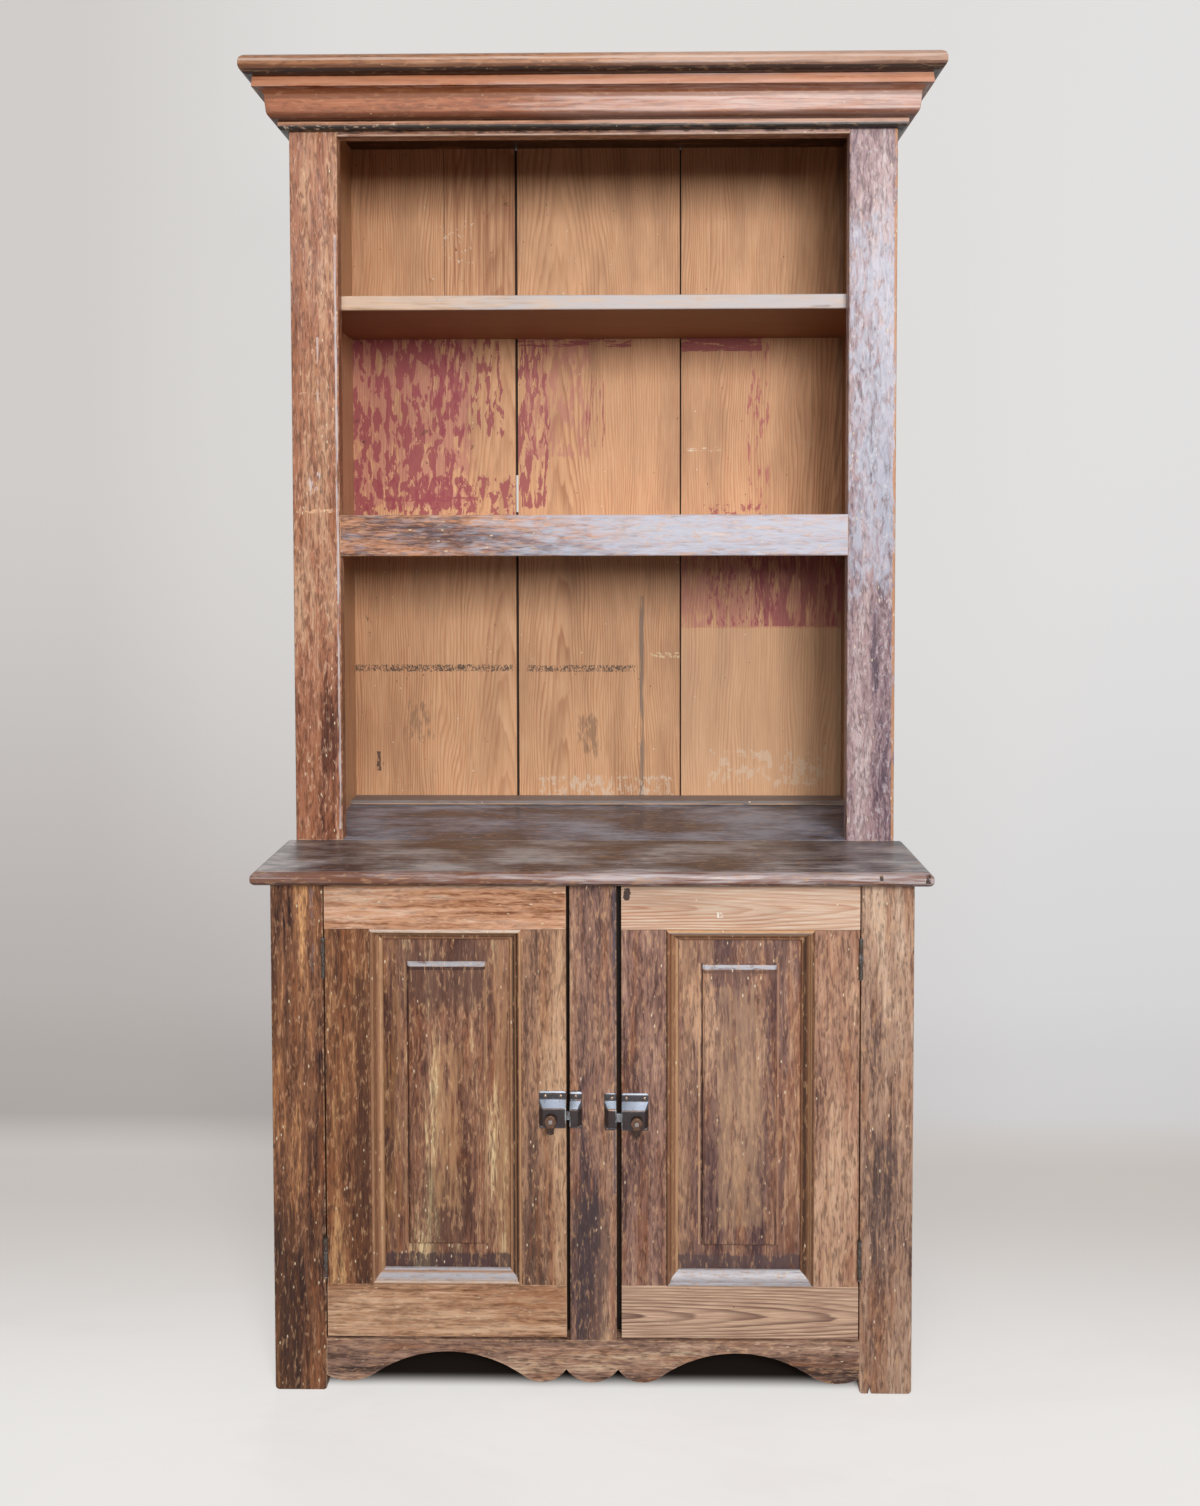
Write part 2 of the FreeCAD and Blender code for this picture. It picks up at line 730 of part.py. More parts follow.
def door(side):
    name = mirrored_name(side)
    hinge_edge, free_edge = door_limits(side)
    inward = -side
    stile_inner = {"hinge": inset(hinge_edge, inward, "door_stile_width"),
                   "lock": inset(free_edge, side, "door_stile_width")}

    for rail, low_z, high_z, groove_low, groove_high in (
            ("top_rail", OPENING_HIGH, DOOR_TOP, OPENING_HIGH, plus(OPENING_HIGH, "groove_depth")),
            ("bottom_rail", DOOR_BOTTOM, OPENING_LOW, minus(OPENING_LOW, "groove_depth"), OPENING_LOW)):
        low_x, high_x = door_span(side, hinge_edge, free_edge)
        body = new_body("%s_door_%s" % (name, rail))
        block(body, (low_x, BASE_FACE_Y, low_z), (high_x, DOOR_BACK_Y, high_z))
        ease(body, along("x"))
        block(body, (low_x, GROOVE_Y, groove_low), (high_x, GROOVE_BACK_Y, groove_high), cut=True,
              name="groove")

    for stile, outer_edge, way in (("hinge_stile", hinge_edge, inward), ("lock_stile", free_edge, side)):
        inner_edge = inset(outer_edge, way, "door_stile_width")
        groove_floor = inset(inner_edge, -way, "groove_depth")
        body = new_body("%s_door_%s" % (name, stile))
        low_x, high_x = (outer_edge, inner_edge) if way > 0 else (inner_edge, outer_edge)
        block(body, (low_x, BASE_FACE_Y, OPENING_LOW), (high_x, DOOR_BACK_Y, OPENING_HIGH))
        ease(body, along("z"))
        groove = (groove_floor, inner_edge) if way > 0 else (inner_edge, groove_floor)
        block(body, (groove[0], GROOVE_Y, OPENING_LOW), (groove[1], GROOVE_BACK_Y, OPENING_HIGH), cut=True,
              name="groove")
        tenon = (outer_edge, groove_floor) if way > 0 else (groove_floor, outer_edge)
        tenon_reach = "groove_depth - fit_gap"
        for end, low_z, high_z in (
                ("lower", minus(OPENING_LOW, tenon_reach), plus(OPENING_LOW, "over_cut")),
                ("upper", minus(OPENING_HIGH, "over_cut"), plus(OPENING_HIGH, tenon_reach))):
            block(body, (tenon[0], plus(GROOVE_Y, "fit_gap"), low_z),
                  (tenon[1], minus(GROOVE_BACK_Y, "fit_gap"), high_z), name=end + "_tenon")
        if stile == "hinge_stile":
            gain_inner = inset(hinge_edge, inward, HINGE_GAIN)
            gain_outer = inset(hinge_edge, side, "over_cut")
            low_gain, high_gain = door_span(side, gain_outer, gain_inner)
            for hinge in ("upper", "lower"):
                cut_gain(body, low_gain, high_gain, hinge)

    inner_low, inner_high = door_span(side, stile_inner["hinge"], stile_inner["lock"])
    door_panel(name, inner_low, inner_high)
    door_moulding(name, inner_low, inner_high)


def door_panel(name, low_x, high_x):
    """A panel held in the grooves, with a raised and bevelled field."""
    body = new_body("%s_door_panel" % name)
    margin = "groove_depth - 5 * fit_gap"
    block(body, (minus(low_x, margin), plus(GROOVE_Y, "fit_gap"), minus(OPENING_LOW, margin)),
          (plus(high_x, margin), minus(GROOVE_BACK_Y, "fit_gap"), plus(OPENING_HIGH, margin)))
    front = minus(GROOVE_Y, "field_raise")
    block(body, (plus(low_x, "field_margin"), front, plus(OPENING_LOW, "field_margin")),
          (minus(high_x, "field_margin"), plus(GROOVE_Y, "over_cut"), minus(OPENING_HIGH, "field_margin")),
          name="field")
    ease(body, in_front(front), "field_bevel")


def corner_cut(body, corner, ways, keep_upright):
    """Cut one end of a door moulding along the diagonal of its corner."""
    face = minus(BASE_FACE_Y, "moulding_proud + over_cut")
    end = "%d%d" % (ways[0] + 1, ways[1] + 1)
    mitre = sketch_on(body, "XZ_Plane", negative(face), name="mitre" + end)
    tip = tuple(inset(start, way, "moulding_width + over_cut") for start, way in zip(corner, ways))
    third = (tip[0], corner[1]) if keep_upright else (corner[0], tip[1])
    outline(mitre, [corner, tip, third])
    pocket(body, mitre, "panel_recess + moulding_proud + 2 * over_cut", name="mitre_cut" + end)


def door_moulding(name, low_x, high_x):
    """A bead and ogee planted round the panel: four lengths, mitred at the corners."""
    face = BASE_FACE_Y
    seat = GROOVE_Y
    lengths = []

    def section(edge, way):
        def at(reach, y):
            return (plus(edge, "%d * (%s)" % (way, reach)), y)
        bead = "2 * moulding_bead"
        shoulder = minus(face, "moulding_proud - moulding_bead")
        step = minus(seat, "moulding_toe_height + moulding_toe")
        return [
            at("0", seat),
            at("0", shoulder),
            at(bead, shoulder),
            at(bead, plus(face, "moulding_drop")),
            at("moulding_width - moulding_toe - moulding_step", step),
            at("moulding_width - moulding_toe", step),
            at("moulding_width", minus(seat, "moulding_toe_height")),
            at("moulding_width", seat),
        ]

    arcs = {1: "moulding_bead * 1.01", 3: "moulding_width * 0.7", 5: "moulding_toe * 1.04"}
    turns = {1: 1, 3: -1, 5: 1}
    for place_name, edge, way in (("left", low_x, 1), ("right", high_x, -1)):
        body = new_body("%s_door_moulding_%s" % (name, place_name))
        sketch = sketch_on(body, "XY_Plane", OPENING_LOW)
        outline(sketch, section(edge, way), {n: (r, turns[n] * way) for n, r in arcs.items()})
        pad(body, sketch, minus(OPENING_HIGH, OPENING_LOW))
        for corner_z, up in ((OPENING_LOW, 1), (OPENING_HIGH, -1)):
            corner_cut(body, (edge, corner_z), (way, up), keep_upright=True)
        lengths.append(body)
    for place_name, corner_z, up in (("bottom", OPENING_LOW, 1), ("top", OPENING_HIGH, -1)):
        body = new_body("%s_door_moulding_%s" % (name, place_name))
        sketch = sketch_on(body, "YZ_Plane", low_x)
        points = [(y, z) for z, y in section(corner_z, up)]
        outline(sketch, points, {n: (r, -turns[n] * up) for n, r in arcs.items()})
        pad(body, sketch, minus(high_x, low_x))
        for edge, way in ((low_x, 1), (high_x, -1)):
            corner_cut(body, (edge, corner_z), (way, up), keep_upright=False)
        lengths.append(body)
    group("%s_door_moulding" % name, lengths)


for side in (-1, 1):
    door(side)


# ---------------------------------------------------------------- butt hinges

HINGE_AXIS_Y = minus(BASE_FACE_Y, "barrel_radius")
KNUCKLES = 3


def hinge_axis_x(side):
    return "%d * (%s)" % (side, minus(STILE_INNER, "door_hinge_gap / 2"))


def hinge_leaf(label, side, way, level, mine):
    """One leaf with its own knuckles; way points from the barrel's axis to the wood the leaf is let into."""
    body = new_body(label)
    axis_x = hinge_axis_x(side)
    near = inset(axis_x, way, "fit_gap")
    far = inset(axis_x, way, "fit_gap + leaf_thick")
    low_x, high_x = (near, far) if way > 0 else (far, near)
    foot = minus(level, "hinge_length / 2")
    plate_y = plus(BASE_FACE_Y, "knuckle_gap")
    block(body, (low_x, plate_y, foot), (high_x, plus(plate_y, "hinge_width"), plus(foot, "hinge_length")))
    for knuckle in mine:
        start = plus(foot, "%d * hinge_length / %d" % (knuckle, KNUCKLES), "knuckle_gap / 2")
        length = "hinge_length / %d - knuckle_gap" % KNUCKLES
        block(body, (low_x, HINGE_AXIS_Y, start), (high_x, plus(plate_y, "over_cut"), plus(start, length)),
              name="web%d" % knuckle)
        rod(body, (axis_x, HINGE_AXIS_Y, start), "barrel_radius", length, name="knuckle%d" % knuckle)
    rod(body, (axis_x, HINGE_AXIS_Y, minus(foot, "over_cut")), "pin_radius + pin_clearance",
        "hinge_length + 2 * over_cut", cut=True, name="bore")
    return body


def hinge_pin(label, side, level):
    """The pin runs through the barrel and shows a little at both ends."""
    body = new_body(label)
    foot = minus(level, "hinge_length / 2 + pin_proud")
    rod(body, (hinge_axis_x(side), HINGE_AXIS_Y, foot), "pin_radius", "hinge_length + 2 * pin_proud")
    return body


case_leaves = []
hinge_pins = []
for side in (-1, 1):
    door_leaves = []
    for name in ("upper", "lower"):
        start = "%s_%s" % (mirrored_name(side), name)
        level = name + "_hinge_level"
        case_leaves.append(hinge_leaf(start + "_case_leaf", side, side, level, (0, 2)))
        door_leaves.append(hinge_leaf(start + "_door_leaf", side, -side, level, (1,)))
        hinge_pins.append(hinge_pin(start + "_pin", side, level))
    group("%s_door_hinge_leaves" % mirrored_name(side), door_leaves)
group("hinge_case_leaves", case_leaves)
group("hinge_pins", hinge_pins)


# ---------------------------------------------------------------- cupboard latches

CASE_HALF = "latch_height / 2"
BOLT_FRONT_Y = minus(BASE_FACE_Y, "fit_gap + bolt_thick")
CRANK_BACK_Y = minus(BOLT_FRONT_Y, "crank_clearance")
CRANK_FRONT_Y = minus(CRANK_BACK_Y, "crank_disc_thick")
CASE_FRONT_Y = minus(BASE_FACE_Y, "latch_reach")
FLANGE_Y = minus(BASE_FACE_Y, "latch_flange")
KNOB_BACK_Y = minus(CASE_FRONT_Y, "knob_gap")
KNOB_FRONT_Y = minus(KNOB_BACK_Y, "knob_thick")


def latch_plan(side):
    """The lines one latch is laid out from: near is the mouth of its case, tip the end of its bolt."""
    level = "latch_level" if side < 0 else "latch_level - right_latch_drop"
    lock_gap = "left_lock_gap" if side < 0 else "right_lock_gap"
    near = inset(door_limits(side)[1], side, "fit_gap")
    axis_x = inset(near, side, "knob_shift")
    axis_z = minus(level, "knob_drop")
    bolt_top = plus(axis_z, "crank_radius + crank_pin_radius + crank_clearance + bolt_web")
    return {
        "level": level,
        "near": near,
        "axis_x": axis_x,
        "axis_z": axis_z,
        "bolt_top": bolt_top,
        "bolt_low": minus(bolt_top, "bolt_height"),
        "room_top": plus(bolt_top, "spring_room"),
        "tip": inset(near, -side, "%s + fit_gap - bolt_shy" % lock_gap),
        "pin_x": inset(axis_x, -side, "crank_radius * sin(30)"),
        "pin_z": plus(axis_z, "crank_radius * cos(30)"),
    }


def span(start, way, distance):
    """Low and high X of a stretch that starts somewhere and runs one way."""
    end = inset(start, way, distance)
    return (start, end) if way > 0 else (end, start)


def latch_shell(body, near, way, length, level):
    """A flanged casting with a sloped shoulder: way points from the mouth to the bevelled end."""
    low_x, high_x = span(near, way, length)
    block(body, (low_x, FLANGE_Y, minus(level, CASE_HALF)), (high_x, BASE_FACE_Y, plus(level, CASE_HALF)),
          name="flange")
    ease(body, along("y"), "flange_corner")
    low_z = plus(minus(level, CASE_HALF), "flange_foot")
    high_z = minus(plus(level, CASE_HALF), "flange_drop")
    section = sketch_on(body, "YZ_Plane", low_x, name="section")
    outline(section, [(FLANGE_Y, low_z), (FLANGE_Y, high_z), (CASE_FRONT_Y, minus(high_z, "shoulder_drop")),
                      (CASE_FRONT_Y, plus(low_z, "bevel_foot"))])
    pad(body, section, length, name="casing")
    end = inset(near, way, length)
    bevel = sketch_on(body, "XY_Plane", high_z, name="bevel")
    outline(bevel, [(end, FLANGE_Y), (end, CASE_FRONT_Y), (inset(end, -way, "bevel_length"), CASE_FRONT_Y)])
    pocket(body, bevel, minus(high_z, low_z), name="bevel_cut")


def latch_case(side, plan):
    """The casting on the door: a room for the works, a mouth for the bolt and the spindle's bearing."""
    near = plan["near"]
    case = new_body("%s_latch_case" % mirrored_name(side))
    latch_shell(case, near, side, "latch_length", plan["level"])
    room = span(inset(near, side, "latch_wall"), side, "latch_length - bevel_length - 2 * latch_wall")
    room_low = minus(plan["axis_z"], "crank_disc_radius + crank_clearance")
    block(case, (room[0], plus(CASE_FRONT_Y, "latch_wall"), room_low),
          (room[1], plus(BASE_FACE_Y, "over_cut"), plan["room_top"]), cut=True, name="room")
    mouth = span(inset(near, -side, "over_cut"), side, "latch_wall + 2 * over_cut")
    block(case, (mouth[0], minus(BOLT_FRONT_Y, "fit_gap"), minus(plan["bolt_low"], "fit_gap")),
          (mouth[1], plus(BASE_FACE_Y, "over_cut"), plus(plan["bolt_top"], "fit_gap")), cut=True,
          name="mouth")
    rod(case, (plan["axis_x"], minus(CASE_FRONT_Y, "over_cut"), plan["axis_z"]),
        "spindle_radius + pin_clearance", "latch_wall + 2 * over_cut", axis="y", cut=True, name="bearing")


def latch_bolt(side, plan):
    """A flat bar with an upright slot, which the crank's pin works in."""
    bolt = new_body("%s_latch_bolt" % mirrored_name(side))
    tail = inset(plan["near"], side, "bolt_tail")
    low_x, high_x = (plan["tip"], tail) if side > 0 else (tail, plan["tip"])
    block(bolt, (low_x, BOLT_FRONT_Y, plan["bolt_low"]),
          (high_x, minus(BASE_FACE_Y, "fit_gap"), plan["bolt_top"]))
    slack = "crank_pin_radius + crank_clearance"
    slot_top = plus(plan["axis_z"], "crank_radius", slack)
    block(bolt, (minus(plan["pin_x"], slack), minus(BOLT_FRONT_Y, "over_cut"), minus(plan["pin_z"], slack)),
          (plus(plan["pin_x"], slack), BASE_FACE_Y, slot_top), cut=True, name="slot")


def latch_knob(side, plan):
    """A drop-shaped thumb turn riveted to its spindle."""
    knob = new_body("%s_latch_knob" % mirrored_name(side))
    axis_x, axis_z = plan["axis_x"], plan["axis_z"]
    half = "paddle_width / 2"
    neck_z = minus(axis_z, "sqrt(knob_radius ^ 2 - (paddle_width / 2) ^ 2)")
    toe = "paddle_width / 2 - paddle_taper"
    toe_z = minus(axis_z, "paddle_drop - paddle_width / 4")
    sketch = sketch_on(knob, "XZ_Plane", negative(KNOB_BACK_Y))
    outline(sketch, [(minus(axis_x, half), neck_z), (minus(axis_x, toe), toe_z), (plus(axis_x, toe), toe_z),
                     (plus(axis_x, half), neck_z), (axis_x, plus(axis_z, "knob_radius"))],
            {1: ("paddle_width * 0.55", 1), 3: ("knob_radius", 1), 4: ("knob_radius", 1)})
    pad(knob, sketch, "knob_thick")
    ease(knob, in_front(KNOB_FRONT_Y), "knob_bevel")
    rivet_y = minus(KNOB_FRONT_Y, "rivet_proud")
    rod(knob, (axis_x, rivet_y, axis_z), "rivet_radius", "rivet_proud + over_cut", axis="y", name="rivet")
    spindle_y = minus(KNOB_BACK_Y, "over_cut")
    rod(knob, (axis_x, spindle_y, axis_z), "spindle_radius",
        minus(CRANK_FRONT_Y, spindle_y, "crank_clearance"), axis="y", name="spindle")
    square_end(knob, plan, minus(CRANK_FRONT_Y, "2 * crank_clearance"), CRANK_BACK_Y,
               "spindle_radius * sin(45)")


def square_end(body, plan, front_y, back_y, half, cut=False):
    """The square that the spindle ends in, or the hole for it."""
    block(body, (minus(plan["axis_x"], half), front_y, minus(plan["axis_z"], half)),
          (plus(plan["axis_x"], half), back_y, plus(plan["axis_z"], half)), cut=cut, name="square")


def latch_crank(side, plan):
    """A disc fast on the square of the spindle, with the pin that draws the bolt."""
    crank = new_body("%s_latch_crank" % mirrored_name(side))
    rod(crank, (plan["axis_x"], CRANK_FRONT_Y, plan["axis_z"]), "crank_disc_radius", "crank_disc_thick",
        axis="y", name="disc")
    square_end(crank, plan, minus(CRANK_FRONT_Y, "over_cut"), plus(CRANK_BACK_Y, "over_cut"),
               "spindle_radius * sin(45) + pin_clearance", cut=True)
    rod(crank, (plan["pin_x"], plus(CRANK_FRONT_Y, "crank_disc_thick / 2"), plan["pin_z"]),
        "crank_pin_radius", "crank_disc_thick / 2 + bolt_thick", axis="y", name="pin")


def latch_spring(side, plan):
    """A bowed leaf that presses on the bolt from above."""
    spring = new_body("%s_latch_spring" % mirrored_name(side))
    sketch = sketch_on(spring, "XZ_Plane", negative(minus(BASE_FACE_Y, "2 * fit_gap")))
    left, right = span(inset(plan["near"], side, "latch_wall + spring_margin"), side, "spring_length")
    top = minus(plan["room_top"], "fit_gap")
    bows = []
    for thick in ("0", "spring_thick"):
        half = "(spring_length / 2 - %s)" % thick
        sag = "(spring_room - 2 * fit_gap - %s)" % thick
        bows.append("(%s ^ 2 + %s ^ 2) / (2 * %s)" % (half, sag, sag))
    inner_left = plus(left, "spring_thick")
    inner_right = minus(right, "spring_thick")
    outline(sketch, [(left, top), (right, top), (inner_right, top), (inner_left, top)],
            {0: (bows[0], 1), 2: (bows[1], -1)})
    pad(spring, sketch, "bolt_thick - 2 * fit_gap")


def latch_strike(side, plan):
    """The casting on the centre stile that the bolt shoots towards."""
    strike = new_body("%s_strike" % mirrored_name(side))
    mouth_x = centre_edge(side)
    latch_shell(strike, mouth_x, -side, "strike_length", plan["level"])
    low_x, high_x = span(inset(mouth_x, side, "over_cut"), -side,
                         "strike_length - bevel_length - latch_wall + over_cut")
    slack = "2 * fit_gap"
    block(strike, (low_x, minus(BOLT_FRONT_Y, slack), minus(plan["bolt_low"], slack)),
          (high_x, plus(BASE_FACE_Y, "over_cut"), plus(plan["bolt_top"], slack)), cut=True, name="mouth")
    return strike


strikes = []
for side in (-1, 1):
    plan = latch_plan(side)
    latch_case(side, plan)
    latch_bolt(side, plan)
    latch_knob(side, plan)
    latch_crank(side, plan)
    latch_spring(side, plan)
    strikes.append(latch_strike(side, plan))
group("latch_strikes", strikes)


# ---------------------------------------------------------------- check and write

CUTS = ("PartDesign::Pocket", "PartDesign::SubtractiveBox", "PartDesign::SubtractiveCylinder",
        "PartDesign::Chamfer", "PartDesign::Fillet")


def subparts():
    """Every named sub-part: the groups, and the bodies that stand alone."""
    bodies = [item for item in doc.Objects if item.TypeId == "PartDesign::Body"]
    return groups + [body for body in bodies if body not in grouped]


def check_features():
    """Every feature must have worked out, and every cut must have taken something away."""
    for item in doc.Objects:
        if "Invalid" in item.State or "Error" in item.State:
            raise RuntimeError("%s failed: %s" % (item.Label, item.State))
        if item.TypeId in CUTS and item.Shape.Volume > item.BaseFeature.Shape.Volume - NEAR:
            raise RuntimeError("%s cuts nothing" % item.Label)


def check_shape(item):
    if item.Shape.isNull() or not item.Shape.isValid() or not item.Shape.Solids:
        raise RuntimeError("%s has no valid shape" % item.Label)
    pieces = len(item.Links) if item in groups else 1
    if len(item.Shape.Solids) != pieces:
        raise RuntimeError("%s should be %d separate solids" % (item.Label, pieces))


doc.recompute()
check_features()
for item in subparts():
    check_shape(item)
os.makedirs("parts", exist_ok=True)
for item in subparts():
    item.Shape.exportStep("parts/%s.step" % item.Label)
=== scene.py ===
import json
import math

import bmesh
import bpy
from mathutils import Matrix, Vector


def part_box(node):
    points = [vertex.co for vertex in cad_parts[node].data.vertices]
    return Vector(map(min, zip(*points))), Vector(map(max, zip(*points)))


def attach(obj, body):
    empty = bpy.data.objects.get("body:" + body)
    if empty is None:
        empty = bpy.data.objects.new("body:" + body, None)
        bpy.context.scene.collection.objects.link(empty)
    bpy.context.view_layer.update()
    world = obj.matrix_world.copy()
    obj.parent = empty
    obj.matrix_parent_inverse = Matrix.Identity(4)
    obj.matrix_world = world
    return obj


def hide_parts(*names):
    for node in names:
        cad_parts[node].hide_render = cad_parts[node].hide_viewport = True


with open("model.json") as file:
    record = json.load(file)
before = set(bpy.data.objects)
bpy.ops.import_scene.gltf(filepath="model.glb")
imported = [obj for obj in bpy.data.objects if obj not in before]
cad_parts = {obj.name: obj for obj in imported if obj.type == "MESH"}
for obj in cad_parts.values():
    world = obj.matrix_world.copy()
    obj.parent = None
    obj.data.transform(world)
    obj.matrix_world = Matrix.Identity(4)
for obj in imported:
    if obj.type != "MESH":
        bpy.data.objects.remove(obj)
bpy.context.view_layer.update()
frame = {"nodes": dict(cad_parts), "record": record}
nodes = frame["nodes"]
bodyOf = {name: body for body, names in frame["record"]["behaviour"]["bodies"].items() for name in names}
mm = 0.001
smooth = {"interpolation_type": "SMOOTHSTEP"}
scene = bpy.context.scene
frontSkin = 5                   # mm, how far behind a board's front its marks reach, unless they say
print("frame loaded:", len(nodes), "nodes")


# ---- small tools shared by all the finishes

def toLinear(hexCode):  # sRGB hex to the linear colour that a socket takes
    parts = [int(hexCode[place:place + 2], 16) / 255 for place in (0, 2, 4)]
    parts = [part / 12.92 if part <= 0.04045 else ((part + 0.055) / 1.055) ** 2.4 for part in parts]
    return (*parts, 1)


def add(tree, kind, inputs=(), **settings):
    # one node, with its inputs by name, or as a list in their order: a MapRange's are the value, from min,
    # from max, to min and to max
    node = tree.nodes.new("ShaderNode" + kind)
    for name, setting in settings.items():
        setattr(node, name, setting)
    for name, source in dict(enumerate(inputs) if isinstance(inputs, list) else inputs).items():
        if isinstance(name, int):
            socket = node.inputs[name]
        else:
            socket = next(found for found in node.inputs if found.enabled and found.name == name)
        if isinstance(source, bpy.types.Node):
            source = next(found for found in source.outputs if found.enabled)
        if isinstance(source, bpy.types.NodeSocket):
            tree.links.new(source, socket)
        else:
            socket.default_value = source
    return node


def drawnOut(tree, coords, along, width, length, place):  # a pattern's size in mm, longer along the grain
    scale = Vector((1, 1, 1)) * (1000 / width)
    scale["xyz".index(along)] = 1000 / length
    return add(tree, "Mapping", {"Vector": coords, "Location": place, "Scale": scale})


def drawnNoise(tree, coords, along, width, length, seed, detail=3.0, curl=0.0):
    placed = drawnOut(tree, coords, along, width, length, (seed * 3.1, seed * 5.3, seed * 7.7))
    return add(tree, "TexNoise", {"Vector": placed, "Scale": 1.0, "Detail": detail, "Roughness": 0.6,
                                  "Distortion": curl})


def flowing(tree, coords, along, width, length, sway, seed):  # bends the grain by up to the sway, mm
    bend = drawnNoise(tree, coords, along, width, length, seed, 2.0).outputs["Color"]
    return add(tree, "VectorMath", [bend, Vector((1, 1, 1)) * sway * 2 * mm, coords],
               operation="MULTIPLY_ADD")


def hairlines(tree, coords, along, width, length, seed, thick=0.05, curl=0.3):
    # thin wandering lines, where a drawn-out noise passes its middle
    noise = drawnNoise(tree, coords, along, width, length, seed, 2.0, curl)
    off = add(tree, "Math", [noise, 0.5], operation="SUBTRACT")
    off = add(tree, "Math", [off], operation="ABSOLUTE")
    return add(tree, "MapRange", [off, thick, 0.0])


def faceDistances(tree, coords, low, high):  # how far a point lies inside a box's faces, on each axis
    away = add(tree, "VectorMath", [coords, (low + high) / 2], operation="SUBTRACT")
    away = add(tree, "VectorMath", [away], operation="ABSOLUTE")
    inside = add(tree, "VectorMath", [(high - low) / 2, away], operation="SUBTRACT")
    return add(tree, "SeparateXYZ", {"Vector": inside}).outputs


def edgeWear(tree, coords, low, high, reach, seed):
    # 1 on the board's edges, falling raggedly to 0 at the reach, in millimetres
    x, y, z = faceDistances(tree, coords, low, high)
    nearer = add(tree, "Math", [x, y], operation="MINIMUM")
    further = add(tree, "Math", [x, y], operation="MAXIMUM")
    least = add(tree, "Math", [further, z], operation="MINIMUM")
    toEdge = add(tree, "Math", [nearer, least], operation="MAXIMUM")
    ragged = drawnNoise(tree, coords, "z", 9, 9, seed + 0.5, 4.0)
    uneven = add(tree, "Math", [ragged, -3.4 * reach * mm, 1.9 * reach * mm], operation="MULTIPLY_ADD")
    moved = add(tree, "Math", [toEdge, uneven], operation="ADD")
    return add(tree, "MapRange", [moved, reach * mm, 0.0], **smooth)


def mark(colour, strength, box, soft, grit, level, spread=0.04, along=None, curl=0.4, detail=4.0,
         deep=None):
    # a stain, scrap of paint or bloom, or a painted highlight, sheen or shade: in a box of left, right,
    # bottom and top, mm, that fades over soft mm, it shows where noise of the grit's width and length is
    # over the level. Deep: front and back, mm.
    return {"colour": colour, "strength": strength, "box": box, "soft": soft, "grit": grit, "level": level,
            "spread": spread, "along": along, "curl": curl, "detail": detail, "deep": deep}


def markCoats(tree, coords, marks, board, low, seed):  # each mark's mask and colour, for stackCoats
    coats = []
    for number, patch in enumerate(marks):
        left, right, bottom, top = (size * mm for size in patch["box"])
        front, back = patch["deep"] or board["deep"] or (low.y / mm - 20, low.y / mm + frontSkin)
        x, y, z = faceDistances(tree, coords, Vector((left, front * mm, bottom)),
                                Vector((right, back * mm, top)))
        least = add(tree, "Math", [x, z], operation="MINIMUM")
        onFace = add(tree, "Math", [y, 0.0], operation="GREATER_THAN")
        region = add(tree, "MapRange", [least, 0.0, patch["soft"] * mm, -0.6, 0.0])
        noise = drawnNoise(tree, coords, patch["along"] or board["along"], *patch["grit"], seed + number,
                           patch["detail"], patch["curl"])
        amount = add(tree, "Math", [noise, region], operation="ADD")
        level, spread = patch["level"], patch["spread"]
        amount = add(tree, "MapRange", [amount, level - spread, level + spread, 0.0, patch["strength"]],
                     **smooth)
        mask = add(tree, "Math", [amount, onFace], operation="MULTIPLY")
        coats.append((mask, patch["colour"]))
    return coats


def specks(tree, coords, along, width, length, size, seed):  # small chips, gathered in places
    placed = drawnOut(tree, coords, along, width, length, (seed * 2.3, seed * 4.1, seed * 6.7))
    cells = add(tree, "TexVoronoi", {"Vector": placed, "Scale": 1.0})
    spots = add(tree, "MapRange", [cells, size, size * 0.5], **smooth)
    places = drawnNoise(tree, coords, along, 60, 110, seed + 0.3, 2.0)
    places = add(tree, "MapRange", [places, 0.42, 0.54])
    return add(tree, "Math", [spots, places], operation="MULTIPLY")


def stackCoats(tree, ground, coats):  # lays colours over a ground, each through its own mask
    for mask, over in coats:
        if isinstance(over, str):
            over = toLinear(over)
        ground = add(tree, "Mix", {"Factor": mask, "A": ground, "B": over}, data_type="RGBA")
    return ground


def newFinish(name):
    material = bpy.data.materials.new(name)
    material.use_nodes = True
    material.node_tree.nodes.clear()
    coords = add(material.node_tree, "TexCoord").outputs["Object"]
    return material, material.node_tree, coords


def closeFinish(tree, colour, roughness, height, depth, **uniform):  # depth of the relief in millimetres
    relief = add(tree, "Bump", {"Strength": 1.0, "Distance": depth * mm, "Height": height})
    inputs = {"Base Color": colour, "Roughness": roughness, "Normal": relief}
    shader = add(tree, "BsdfPrincipled", {**inputs, **uniform})
    add(tree, "OutputMaterial", {"Surface": shader})


def dress(piece, material):
    piece.data.materials.clear()
    piece.data.materials.append(material)


def finishEach(boards, finish, seed, step):  # each board has its own place in the noise
    for number, (name, board) in enumerate(boards.items()):
        finish(name, board, seed + number * step)


def keep(work, name, body):  # turns a finished bmesh into a piece that rides on a body
    mesh = bpy.data.meshes.new(name)
    work.to_mesh(mesh)
    work.free()
    piece = bpy.data.objects.new(name, mesh)
    scene.collection.objects.link(piece)
    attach(piece, body)
    return piece


# ---- pieces whose arrises are rubbed round, so that they catch the light as a soft line

